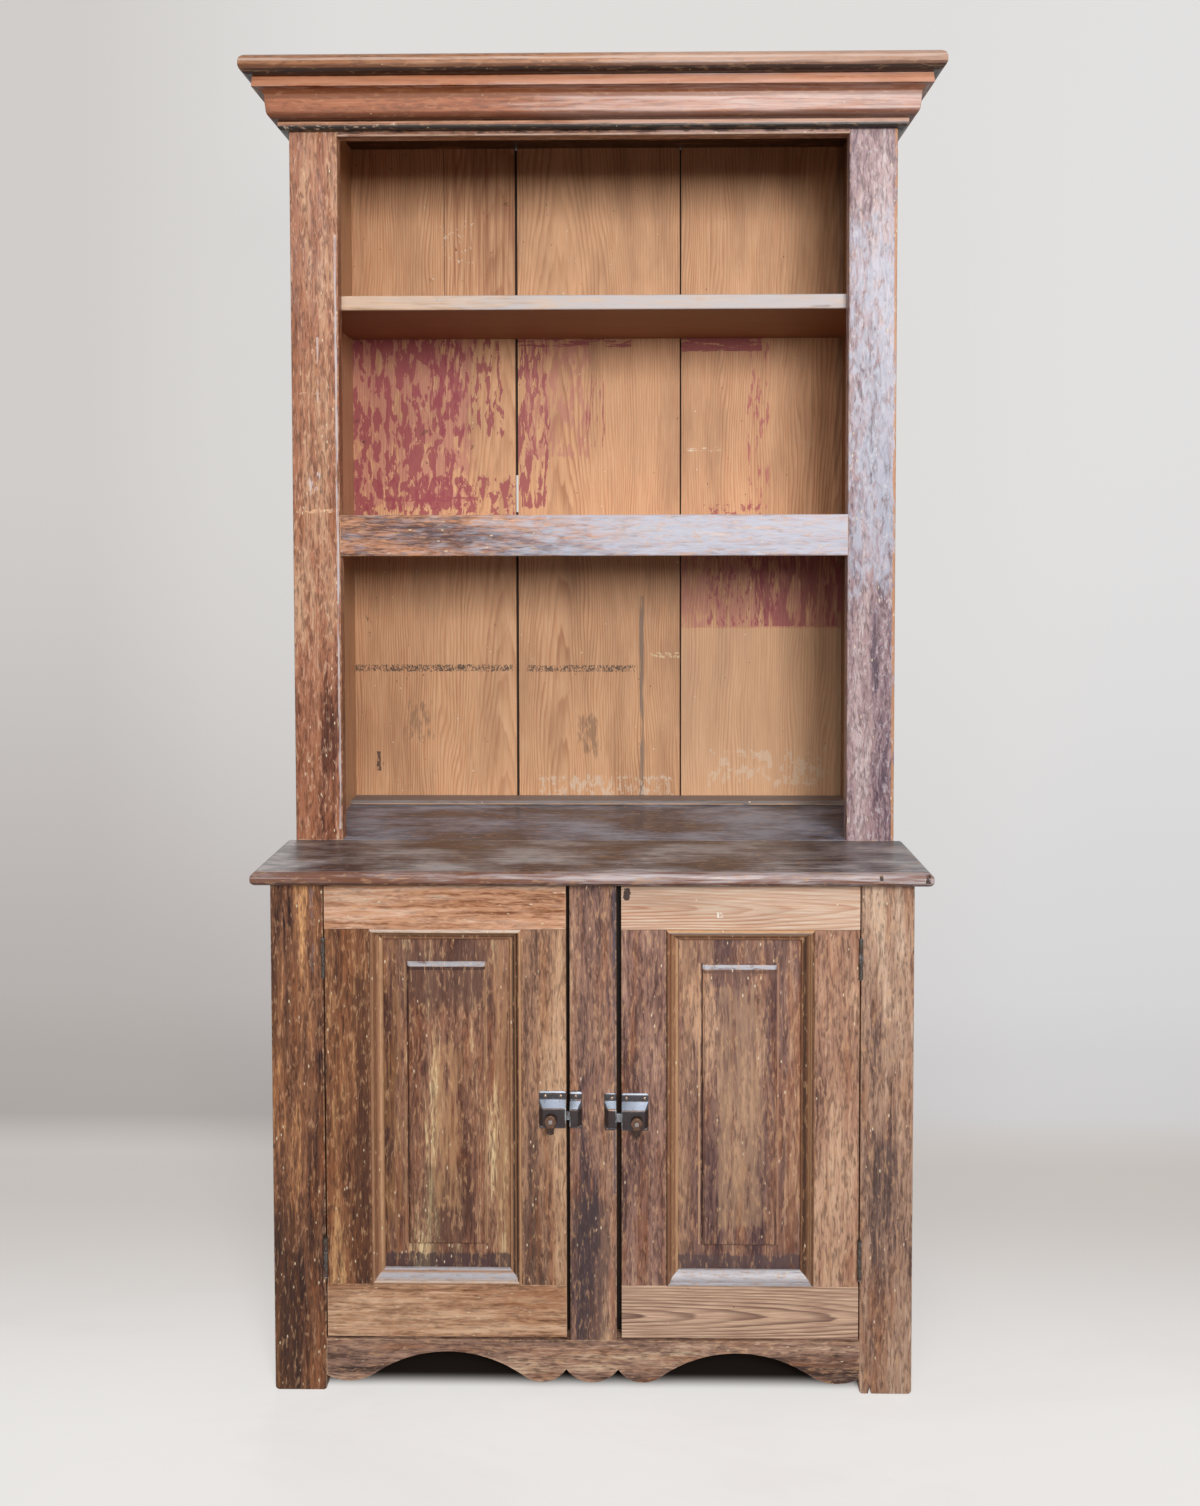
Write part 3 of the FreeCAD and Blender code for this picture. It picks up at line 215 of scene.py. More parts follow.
rubbed = {                      # how far each arris is rounded, mm
    "counter_ledge": 1.0,
    "top_board": 1.0,
    "crown_front": 0.8,
    "crown_left": 0.8,
    "crown_right": 0.8,
    "cornice_beads": 0.7,
    "left_door_moulding": 0.5,
    "right_door_moulding": 0.5,
    "left_door_panel": 0.8,
    "right_door_panel": 0.8,
    "left_latch_case": 0.7,
    "right_latch_case": 0.7,
    "latch_strikes": 0.7,
    "left_latch_knob": 0.5,
    "right_latch_knob": 0.5,
}
shown = dict(nodes)             # what shows of each node: itself, or its rounded copy


def rubRound(name, radius):
    work = bmesh.new()
    work.from_mesh(nodes[name].data)
    bmesh.ops.remove_doubles(work, verts=work.verts, dist=0.02 * mm)
    bmesh.ops.dissolve_limit(work, angle_limit=math.radians(1), verts=work.verts, edges=work.edges)
    bmesh.ops.recalc_face_normals(work, faces=work.faces)
    arrises = [edge for edge in work.edges
               if len(edge.link_faces) == 2 and edge.calc_face_angle() > math.radians(25)]
    bmesh.ops.bevel(work, geom=arrises, offset=radius * mm, affect="EDGES", segments=2,
                    profile=0.5, material=-1, clamp_overlap=True)
    bmesh.ops.triangulate(work, faces=[face for face in work.faces if len(face.verts) > 4])
    piece = keep(work, "rubbed_" + name, bodyOf[name])
    piece.data.shade_smooth()
    piece.data.set_sharp_from_angle(angle=math.radians(35))
    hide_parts(name)
    shown[name] = piece


for name, radius in rubbed.items():
    rubRound(name, radius)
print("rounded pieces done:", len(rubbed))


# ---- old dark glaze, brushed and combed over lighter wood: the whole outside
# The glaze is worn off in fine fibres along the grain, so the lighter wood shows as flecks and streaks.

oldGlaze = {
    "along": "z",
    "tones": ("6E4838", "3C241C", "A87A5C", "CCA07E"),     # glaze, thick glaze, bare wood, palest wood
    "worn": 0.0,          # over 0 shows more wood, under 0 more glaze
    "sway": 4.5,
    "cloudSize": (48, 460),
    "cloud": 1.55,
    "strandSize": (5.5, 150),
    "strand": 0.55,
    "fleckSize": (2.6, 26),
    "fleck": 0.55,
    "crackSize": (7, 64),
    "cracks": 0.62,
    "crackColour": "38231B",
    "amberSize": (15, 150),
    "amber": 0.45,
    "amberColour": "9C5E37",
    "wispSize": (9, 50),
    "wisps": 0.55,
    "wispColour": "D2A67E",
    "edgeReach": 2.2,
    "edgeColour": "D9B393",
    "edgeStrength": 0.6,
    "speckColour": "E6D2B4",
    "speckSize": 0.13,
    "gloss": 0.44,
    "shine": 0.3,
    "relief": 0.4,        # mm
    "coat": 0.0,
    "deep": None,
    "marks": [],
    "lines": {},          # the tones of a moulding's sides, with their painted light and shade
}

# The bluish colour is a painted reflection of the window light on the varnish.
# The near-black brown is painted shade, for shadow lines under overhangs and on bevels turned from the
# light.
paintedSheenBlue, paintedShade = "C2C8DA", "2A1913"
hutchSide = {"tones": ("7A5646", "573A2E", "A67E60", "B89274"), "deep": (-36, 300)}
doorRail = {"along": "x", "cloudSize": (14, 300), "strandSize": (5, 160), "sway": 4.0}

glazedBoards = {
    "hutch_left_stile": {
        "tones": ("985E46", "5F3628", "B87E61", "D0A384"), "worn": 0.02, "wispColour": "E8C2A4", "marks": [
            # Painted sheen, pinkish grey, at the top of the stile.
            mark("C7A59C", 0.55, (-600, -300, 1560, 2400), 420, (12, 60), 0.3, 0.4),
            mark("E6B48E", 0.9, (-484, -408, 1321, 1334), 4, (9, 5), 0.5),
            mark("D9D0D2", 0.8, (-474, -420, 1334, 1402), 14, (4, 20), 0.58),
            mark("DCCFCE", 0.6, (-446, -438, 1500, 1608), 3, (4, 60), 0.45),
            mark("D6AC90", 0.6, (-484, -430, 1513, 1520), 2, (10, 6), 0.5),
            # Painted highlight, a pale line along the stile's inner edge.
            mark("DCD6DA", 0.75, (-416, -408, 810, 1770), 2.5, (5, 80), 0.45, 0.1)]},
    # Right stile: its lavender-grey tones and wisps and the bluish mark across its middle are a painted
    # reflection of the window light over crazed varnish.
    "hutch_right_stile": {
        "tones": ("8F7581", "5D4C59", "BB9F9E", "D2C1C3"), "worn": 0.04, "edgeReach": 2.0, "coat": 0.15,
        "sway": 12.0, "wispSize": (10, 22), "wispColour": "D8D3DA", "amber": 0.12, "crackColour": "4A3A40",
        "crackSize": (12, 42), "relief": 1.1, "marks": [
            mark(paintedSheenBlue, 0.7, (200, 900, 1000, 1980), 260, (9, 30), 0.42, 0.16, curl=0.8),
            mark("C08A66", 1.0, (477, 490, 780, 2010), 3, (7, 50), 0.4),
            mark("3A2620", 1.0, (407, 415, 1160, 1256), 5, (8, 18), 0.42)]},
    "hutch_left_side": {
        **hutchSide, "marks": [
            # The bare inner face, painted lighter as if lit from the right.
            mark("CBA07C", 0.95, (-457, -430, 700, 2100), 1, (14, 160), 0.25, 0.3),
            mark("4A4440", 0.7, (-457, -430, 1029, 1054), 6, (8, 14), 0.5, along="y", curl=2.0)]},
    "hutch_right_side": {
        **hutchSide, "marks": [
            # The bare inner face, painted darker as in shade.
            mark("94704F", 0.9, (430, 457, 700, 2100), 1, (14, 160), 0.25, 0.3)]},
    "hutch_top_rail": {
        "along": "x", "tones": ("8A5A48", "45281C", "B4856F", "D2AC98"), "marks": [
            # Painted sheen growing to the right, then painted shade in a band under the beads.
            mark("C4A49C", 0.6, (-100, 1300, 1700, 2200), 260, (6, 60), 0.3, 0.2),
            mark(paintedShade, 0.8, (-408, 408, 1925.5, 1940), 2, (7, 26), 0.52),
            mark("E6CDC0", 0.85, (-408, 408, 1920, 1926.4), 1, (5, 40), 0.42, 0.1)]},
    # Middle rail: the bluish mark, growing to the right, is a painted reflection of the window light.
    "hutch_middle_rail": {
        "along": "x", "tones": ("9A6850", "5F3F3F", "EDAA7E", "FDDCA7"), "coat": 0.2, "relief": 0.5,
        "cloud": 1.2, "amber": 0.25, "marks": [
            mark(paintedSheenBlue, 0.9, (-300, 1200, 900, 1700), 560, (7, 40), 0.14, 0.3, curl=0.6),
            mark("4E342C", 0.7, (-408, 408, 1255, 1259), 2, (6, 60), 0.45)]},
    "base_left_side": {},
    "base_right_side": {},
    "base_left_stile": {
        "tones": ("59352B", "28130F", "A77453", "EFB37B"), "worn": -0.04, "wispColour": "D0A480",
        "edgeReach": 2.0, "marks": [
            mark("38231B", 0.7, (-600, -380, -200, 330), 70, (10, 150), 0.42, 0.14),
            mark("4A2E22", 0.6, (-600, -440, 500, 1200), 30, (10, 150), 0.42, 0.14),
            # Painted glint, a soft blue-grey streak.
            mark("857A82", 0.45, (-436, -396, 620, 800), 20, (8, 26), 0.5, 0.08, curl=1.4)]},
    "base_right_stile": {
        "tones": ("9B7766", "68534E", "CBA891", "E0C1A8"), "marks": [
            mark("6B5850", 0.6, (400, 480, 60, 420), 80, (7, 60), 0.42, 0.12)]},
    "centre_stile": {
        "tones": ("846159", "503F43", "B99079", "DDB697"), "worn": -0.02, "edgeReach": 2.0, "marks": [
            mark("4A3D3F", 0.55, (-60, 60, -200, 330), 45, (10, 120), 0.4, 0.16),
            mark("5D5660", 0.8, (28, 40, 300, 780), 5, (6, 90), 0.45, 0.1)]},
    "apron": {"along": "x", "tones": ("71554C", "352623", "BF9984", "EACDB0"), "speckSize": 0.12},
    "left_door_top_rail": {
        **doorRail, "tones": ("BA825D", "75442B", "E1AF91", "E6C5AC"), "worn": 0.08,
        "crackSize": (9, 110), "cracks": 0.4},
    "left_door_bottom_rail": {
        **doorRail, "tones": ("9F7355", "6D4730", "CA9C7C", "E8C0A0"), "worn": 0.05,
        "crackSize": (9, 90), "cracks": 0.45, "speckSize": 0.12},
    "left_door_hinge_stile": {
        "tones": ("613727", "381C14", "A16F4D", "D9A979"), "marks": [
            mark("4A2C20", 0.65, (-366, -320, 60, 640), 16, (9, 120), 0.4, 0.16)]},
    "left_door_lock_stile": {"tones": ("956D5C", "694E42", "C39A7A", "D8B090"), "worn": 0.03},
    "right_door_lock_stile": {"tones": ("7E5B52", "533C3D", "B28B7C", "D5AF93")},
    "right_door_hinge_stile": {"tones": ("936B5B", "624640", "C79B82", "DEB79A"), "worn": 0.03},
    "left_door_panel": {
        "tones": ("6D4438", "4B2C26", "AE8269", "FDE2B0"), "deep": (-240, -214), "worn": -0.04, "marks": [
            mark("5A4038", 0.6, (-335, -100, 540, 720), 60, (9, 120), 0.34, 0.16),
            mark("553A31", 0.6, (-277, -159, 160, 360), 30, (9, 120), 0.4, 0.16),
            mark("BA8F6B", 0.8, (-272, -164, 240, 560), 40, (6, 60), 0.47, 0.13),
            mark("A37750", 0.6, (-335, -277, 160, 720), 12, (5, 90), 0.52, 0.1),
            mark("AD8260", 0.7, (-155, -100, 160, 720), 12, (5, 90), 0.46, 0.1),
            mark("4E3C3E", 0.85, (-335, -100, 160, 214), 14, (12, 20), 0.36, 0.1),
            # Painted shade on the field's left bevel, then painted light on its right bevel.
            mark(paintedShade, 0.85, (-278.6, -274.6, 218, 648), 1, (9, 60), 0.3),
            mark("BA9272", 0.7, (-163, -156.5, 218, 648), 1, (9, 60), 0.46, 0.1),
            mark("A67E5E", 0.7, (-283, -279, 218, 648), 1, (6, 60), 0.4, 0.12),
            # A painted highlight, with dust, on the field's top bevel.
            mark("BBBBC2", 0.88, (-277, -159, 642.5, 649.5), 0.8, (5, 18), 0.36, 0.16, "x"),
            mark("3B2620", 0.8, (-277, -159, 637, 643), 1, (12, 30), 0.35, along="x")]},
    "right_door_panel": {
        "tones": ("694C4A", "51393E", "9D796B", "D2A88A"), "deep": (-240, -214), "worn": -0.03, "marks": [
            mark("6A4E46", 0.5, (105, 335, 590, 720), 50, (9, 120), 0.4, 0.16),
            mark("B8957A", 0.6, (163, 279, 223, 640), 30, (7, 60), 0.45, 0.14),
            mark("8A5840", 0.6, (282, 335, 160, 720), 12, (5, 60), 0.48, 0.1),
            mark("A27E66", 0.6, (105, 160, 160, 720), 12, (5, 60), 0.5, 0.1),
            mark("5A494B", 0.8, (105, 335, 160, 214), 14, (12, 20), 0.36, 0.1),
            # Painted shade on the field's left bevel, then painted light on its right bevel.
            mark(paintedShade, 0.9, (163.4, 167, 218, 648), 1, (9, 60), 0.3),
            mark("AA8069", 0.85, (277, 281, 218, 648), 1, (9, 60), 0.3),
            mark("CCA484", 0.85, (159, 163.2, 218, 648), 1, (6, 60), 0.35, 0.12),
            # A painted highlight, with dust, on the field's top bevel.
            mark("C6C8D2", 0.88, (165, 277, 639, 646.5), 0.8, (5, 18), 0.36, 0.16, "x"),
            mark("6B4E42", 0.7, (165, 277, 633, 638.5), 1, (12, 30), 0.4, along="x")]},
}

# A moulding's side is a run of beads and hollows: how far in from its outer edge, mm, and the tone. The
# tones are its colour, dust and chips with painted light and shade: dark for shadow in the hollows, pale
# for highlights on the beads, and the right-hand sides darker than the left.
mouldingTonesAndShade = {"dark": "452D20", "brown": "8A5F47", "tan": "AE8263", "gold": "CCA27C", "cream": "D8C4B6",
                 "bloom": "B7B5BC", "silver": "CFCCD2"}
mouldingLinesAndShade = {
    "left_door_moulding": {
        "left": [(0.5, "brown"), (5, "tan"), (7.5, "brown"), (12, "tan"), (14, "gold"), (17, "tan"),
                 (19.5, "gold")],
        "right": [(1, "gold"), (3.7, "brown"), (5.2, "dark"), (7, "dark"), (9.4, "tan"), (10.6, "dark"),
                  (12.2, "dark"), (15.5, "tan")],
        "top": [(1, "cream"), (3, "cream"), (4.6, "gold"), (6.2, "tan"), (7.8, "dark"), (10, "tan"),
                (12.4, "dark"), (14.5, "brown")],
        "bottom": [(2, "tan"), (5, "cream"), (7, "bloom"), (11, "bloom"), (14, "tan"), (17, "bloom")],
    },
    "right_door_moulding": {
        "left": [(0.4, "dark"), (2.5, "brown"), (5.8, "brown"), (9, "tan"), (12.4, "brown"), (16.4, "gold"),
                 (18.8, "tan")],
        "right": [(0.6, "brown"), (2.6, "dark"), (4.6, "tan"), (6.2, "gold"), (8.6, "brown"),
                  (11.6, "dark"), (14.6, "dark"), (17, "brown")],
        "top": [(3, "gold"), (4.6, "bloom"), (7.2, "silver"), (9.4, "gold"), (11.6, "brown"),
                (13.2, "dark"), (15, "brown")],
        "bottom": [(1, "cream"), (3, "bloom"), (6.2, "bloom"), (10, "silver"), (15, "silver"),
                   (18.6, "bloom")],
    },
}
for name, lines in mouldingLinesAndShade.items():
    glazedBoards[name] = {"tones": ("74503A", "442A1D", "A0764F", "C8A07D"), "worn": 0.04,
                          "edgeStrength": 0.0, "lines": lines}


def mouldingToneAndShadeCoats(tree, coords, low, high, sides, seed):  # the tones along each side, with their painted light and shade, broken up by wear
    fromLow = add(tree, "VectorMath", [coords, low], operation="SUBTRACT")
    fromHigh = add(tree, "VectorMath", [high, coords], operation="SUBTRACT")
    lowParts = add(tree, "SeparateXYZ", {"Vector": fromLow}).outputs
    highParts = add(tree, "SeparateXYZ", {"Vector": fromHigh}).outputs
    inwards = {"left": lowParts["X"], "right": highParts["X"],
               "bottom": lowParts["Z"], "top": highParts["Z"]}
    x, y, z = faceDistances(tree, coords, low, high)
    nearest = add(tree, "Math", [x, z], operation="MINIMUM")
    coats = []
    for side, stops in sides.items():
        along = "z" if side in ("left", "right") else "x"
        worn = drawnNoise(tree, coords, along, 3.5, 26, seed, 4.0)
        worn = add(tree, "MapRange", [worn, 0.7, 0.5, 0.5])
        apart = add(tree, "Math", [inwards[side], nearest], operation="SUBTRACT")
        own = add(tree, "Math", [apart, 0.01 * mm], operation="LESS_THAN")
        mask = add(tree, "Math", [worn, own], operation="MULTIPLY")
        place = add(tree, "MapRange", [inwards[side], 0.0, 20 * mm])
        ramp = add(tree, "ValToRGB", {"Fac": place})
        marks = ramp.color_ramp.elements
        marks.remove(marks[1])
        marks[0].position, marks[0].color = stops[0][0] / 20, toLinear(mouldingTonesAndShade[stops[0][1]])
        for distance, tone in stops[1:]:
            marks.new(distance / 20).color = toLinear(mouldingTonesAndShade[tone])
        coats.append((mask, ramp))
    return coats


def glazedWood(name, board, seed):
    spec = {**oldGlaze, **board}
    low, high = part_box(name)
    material, tree, coords = newFinish("oldGlazeOn_" + name)
    along = spec["along"]
    grain = flowing(tree, coords, along, 24, 75, spec["sway"], seed)
    cloud = drawnNoise(tree, grain, along, *spec["cloudSize"], seed, 3.0)
    strand = drawnNoise(tree, grain, along, *spec["strandSize"], seed + 1, 3.0, 0.4)
    fleck = drawnNoise(tree, grain, along, *spec["fleckSize"], seed + 2, 2.0, 1.2)
    middle = spec["worn"] - 0.5 * (spec["cloud"] + spec["strand"] + spec["fleck"])
    mixed = add(tree, "Math", [cloud, spec["cloud"], middle], operation="MULTIPLY_ADD")
    mixed = add(tree, "Math", [strand, spec["strand"], mixed], operation="MULTIPLY_ADD")
    mixed = add(tree, "Math", [fleck, spec["fleck"], mixed], operation="MULTIPLY_ADD")
    bare = add(tree, "MapRange", [mixed, -0.2, 0.18])
    deep = add(tree, "MapRange", [mixed, -0.04, -0.26])
    pale = add(tree, "MapRange", [mixed, 0.09, 0.3])
    broken = drawnNoise(tree, coords, along, 6, 20, seed + 6, 2.0)
    cracks = hairlines(tree, grain, along, *spec["crackSize"], seed + 3, 0.1, 0.4)
    cracked = add(tree, "MapRange", [broken, 0.4, 0.56, 0.0, spec["cracks"]])
    cracks = add(tree, "Math", [cracks, cracked], operation="MULTIPLY")
    wisps = hairlines(tree, grain, along, *spec["wispSize"], seed + 4, 0.055, 0.2)
    inPlaces = add(tree, "MapRange", [broken, 0.5, 0.4, 0.0, spec["wisps"]])
    wisps = add(tree, "Math", [wisps, inPlaces], operation="MULTIPLY")
    wear = edgeWear(tree, coords, low, high, spec["edgeReach"], seed)
    rubbedEdge = add(tree, "Math", [wear, spec["edgeStrength"]], operation="MULTIPLY")
    dots = specks(tree, coords, along, 10, 26, spec["speckSize"], seed + 4)
    amber = drawnNoise(tree, grain, along, *spec["amberSize"], seed + 9, 3.0)
    amber = add(tree, "MapRange", [amber, 0.5, 0.68, 0.0, spec["amber"]])
    glaze, glazeDeep, wood, woodPale = spec["tones"]
    coats = [(deep, glazeDeep), (bare, wood), (pale, woodPale),
             (amber, spec["amberColour"]), (cracks, spec["crackColour"])]
    coats += mouldingToneAndShadeCoats(tree, coords, low, high, spec["lines"], seed + 8)
    coats += markCoats(tree, coords, spec["marks"], spec, low, seed + 5)
    coats += [(wisps, spec["wispColour"]), (rubbedEdge, spec["edgeColour"]), (dots, spec["speckColour"])]
    colour = stackCoats(tree, toLinear(glaze), coats)
    roughness = add(tree, "MapRange", [mixed, -0.3, 0.3, spec["gloss"] - 0.06, spec["gloss"] + 0.14])
    relief = add(tree, "Math", [cracks, -0.5, mixed], operation="MULTIPLY_ADD")
    closeFinish(tree, colour, roughness, relief, spec["relief"], **{
        "Coat Weight": spec["coat"], "Coat Roughness": 0.3, "Specular IOR Level": spec["shine"]})
    dress(shown[name], material)


finishEach(glazedBoards, glazedWood, seed=3, step=1.7)
print("glazed boards done:", len(glazedBoards))


# ---- red-brown varnish on the cornice: smooth planed mouldings, so gloss with fine level grain

cornice = {
    "tones": {
        "top": ("9A6747", "6A3720", "BE8C6C", "D6A988"),
        "crown": ("9A5737", "6A3720", "B87350", "D39A74"),
        "returns": ("5E4034", "6A3720", "7A5643", "94705A"),
        "beads": ("9A6A50", "6A3720", "B28068", "C99878"),
    },
    "finish": {
        "cloudSize": (24, 420), "cloud": 0.8, "strandSize": (6, 240), "strand": 0.35, "wisps": 0.25,
        "fleckSize": (3.0, 60), "fleck": 0.2, "sway": 3.0, "gloss": 0.36, "speckSize": 0.06, "coat": 0.2,
        "edgeStrength": 0.0, "crackSize": (11, 70), "cracks": 0.45, "deep": (-300, 300),
    },
    "joints": [         # painted shadow lines under the top board and over the beads, where the cap and the ovolo overhang
        mark("25130C", 0.9, (-600, 600, 2000.8, 2004.5), 1.2, (8, 120), 0.35),
        mark("25130C", 0.9, (-600, 600, 1941.5, 1945.5), 1.2, (8, 120), 0.35),
    ],
    "marks": {
        "top": [
            # Top board: painted sheen growing to the right, a painted highlight along the nose, and painted
            # shade over the nose's lower half.
            mark("D0B3A4", 0.5, (-150, 1300, 1700, 2300), 300, (7, 120), 0.3, 0.2, deep=(-300, -120)),
            mark("DCC4B8", 0.6, (-600, 600, 2017.5, 2025), 2, (4, 90), 0.42, 0.14, deep=(-300, -120)),
            mark("5E3825", 0.75, (-600, 600, 1996, 2017), 6, (6, 120), 0.3, 0.2, deep=(-300, -60)),
            mark("2A140B", 0.93, (-600, 600, 1996, 2010), 3, (6, 120), 0.25, 0.2, deep=(-300, -60)),
        ],
        "crown": [
            # Crown: painted sheen growing to the right, painted light on the fascia, a painted highlight
            # with chips on its lower arris, painted shade in the cove and on the ovolo's lower turn.
            mark("D8BDB6", 0.8, (-260, 1300, 1700, 2200), 380, (7, 160), 0.26, 0.2, "x",
                 deep=(-300, -60)),
            mark("CC9070", 0.75, (-600, 600, 1985.4, 2001.6), 1.5, (7, 200), 0.4, 0.2),
            mark("E2C2B2", 0.7, (-600, 600, 1984.4, 1987.4), 0.8, (5, 40), 0.48, 0.06),
            mark("814826", 0.85, (-600, 600, 1970.5, 1985), 5, (9, 160), 0.15, 0.25),
            mark("6E3F2B", 0.8, (-600, 600, 1936, 1956), 9, (7, 160), 0.2, 0.25),
        ],
        "beads": [
            # Beads: a painted highlight along their top, painted sheen growing to the right, painted shade
            # on their lower half; then pale chips at the left.
            mark("DFAE8E", 0.8, (-600, 600, 1938.6, 1942), 1, (7, 70), 0.42, 0.1),
            mark("D8B6A8", 0.5, (-150, 1300, 1700, 2200), 260, (7, 90), 0.3, 0.2),
            mark("120805", 0.97, (-600, 600, 1925, 1937), 1.2, (9, 90), 0.2),
            mark("E6C9B2", 0.7, (-600, -300, 1920, 1950), 3, (7, 14), 0.62, 0.08),
        ],
    },
    "pieces": {         # along, tones and marks
        "top_board": ("x", "top", "top"),
        "crown_front": ("x", "crown", "crown"),
        "crown_left": ("y", "returns", "crown"),
        "crown_right": ("y", "returns", "crown"),
        "cornice_beads": ("x", "beads", "beads"),
    },
}
corniceBoards = {}
for name, (along, tones, marks) in cornice["pieces"].items():
    corniceBoards[name] = {**cornice["finish"], "along": along, "tones": cornice["tones"][tones],
                           "marks": cornice["joints"] + cornice["marks"][marks]}
finishEach(corniceBoards, glazedWood, seed=50, step=2.3)
print("cornice done")


# ---- counter boards: scrubbed and dusty, with rings and splashes, and a nose rubbed red, with painted highlights along the nose and painted shade under it

dustyFinish = {
    "along": "x", "cloudSize": (80, 150), "strandSize": (7, 130), "strand": 0.8, "amber": 0.1,
    "worn": 0.02, "relief": 0.3, "speckSize": 0.09, "speckColour": "C9C6C6",
}
counterBoards = {
    "counter_ledge": {
        **dustyFinish, "tones": ("706C71", "433C40", "9B9598", "C6C4C7"), "deep": (-300, -246),
        "cloud": 2.3, "gloss": 0.38, "coat": 0.1, "edgeStrength": 0.0, "cracks": 0.35, "marks": [
            mark("3E322E", 0.6, (-388, -290, 780, 800), 14, (30, 30), 0.4, 0.1, "z", deep=(-130, -70)),
            mark("3E322E", 0.6, (-58, 50, 780, 800), 18, (30, 30), 0.42, 0.1, "z", deep=(-200, -100)),
            mark("53443E", 0.5, (180, 420, 780, 800), 30, (24, 60), 0.5, 0.1, deep=(-230, -90)),
            mark("82543F", 0.9, (-600, 600, 700, 900), 7, (6, 60), 0.3, 0.2, deep=(-300, -249)),
            # Painted highlights along the nose, one growing to the right, and painted shade on its
            # underside.
            mark("CDC3C6", 0.45, (-600, 600, 783, 800), 3, (5, 90), 0.52, 0.14),
            mark("DED8DE", 0.8, (-300, 1200, 500, 1100), 700, (5, 90), 0.2, 0.2, deep=(-300, -250)),
            mark("4A2C22", 0.8, (-600, 600, 770, 782), 3, (5, 40), 0.45, 0.1),
            mark("2A1C18", 0.9, (420, 426, 784, 792), 1.5, (30, 30), 0.2, along="z", deep=(-300, -250)),
            mark("2E1C17", 0.9, (484, 498, 777, 796), 4, (12, 12), 0.4, along="z", deep=(-300, -240))]},
    # The rear board's blue-grey is dust with a painted sheen.
    "counter_rear_board": {
        **dustyFinish, "tones": ("5B6171", "343848", "848CA0", "A1ACBF"), "cloud": 2.2, "gloss": 0.36,
        "coat": 0.15, "edgeStrength": 0.2, "cracks": 0.3},
}
finishEach(counterBoards, glazedWood, seed=140, step=3.7)
print("counter done")


# ---- planed pine, never painted but for scraps: the back, the shelves and all that is inside
# Latewood stands as darker rings; where the saw passes near the heart they draw long pointed arches.

plainPine = {
    "along": "z",
    "early": "DAA277",
    "earlyPale": "E8BB92",
    "late": "A4653F",
    "dirt": "7A5036",
    "ringWidth": 4.6,
    "heart": 0.0,         # where across the board the arches stand, mm
    "heartDepth": 40,
    "heartLevel": 1000,
    "taper": 0.055,
    "wander": 60,
    "lateStrength": 0.45,
    "gloss": 0.6,
    "deep": None,
    "marks": [],
}
crimson, crimsonThin, inkBlack, limeWhite = "9E4450", "BE7470", "35302E", "EDE0CC"
pineRail = {"along": "x", "ringWidth": 4.5, "gloss": 0.5}

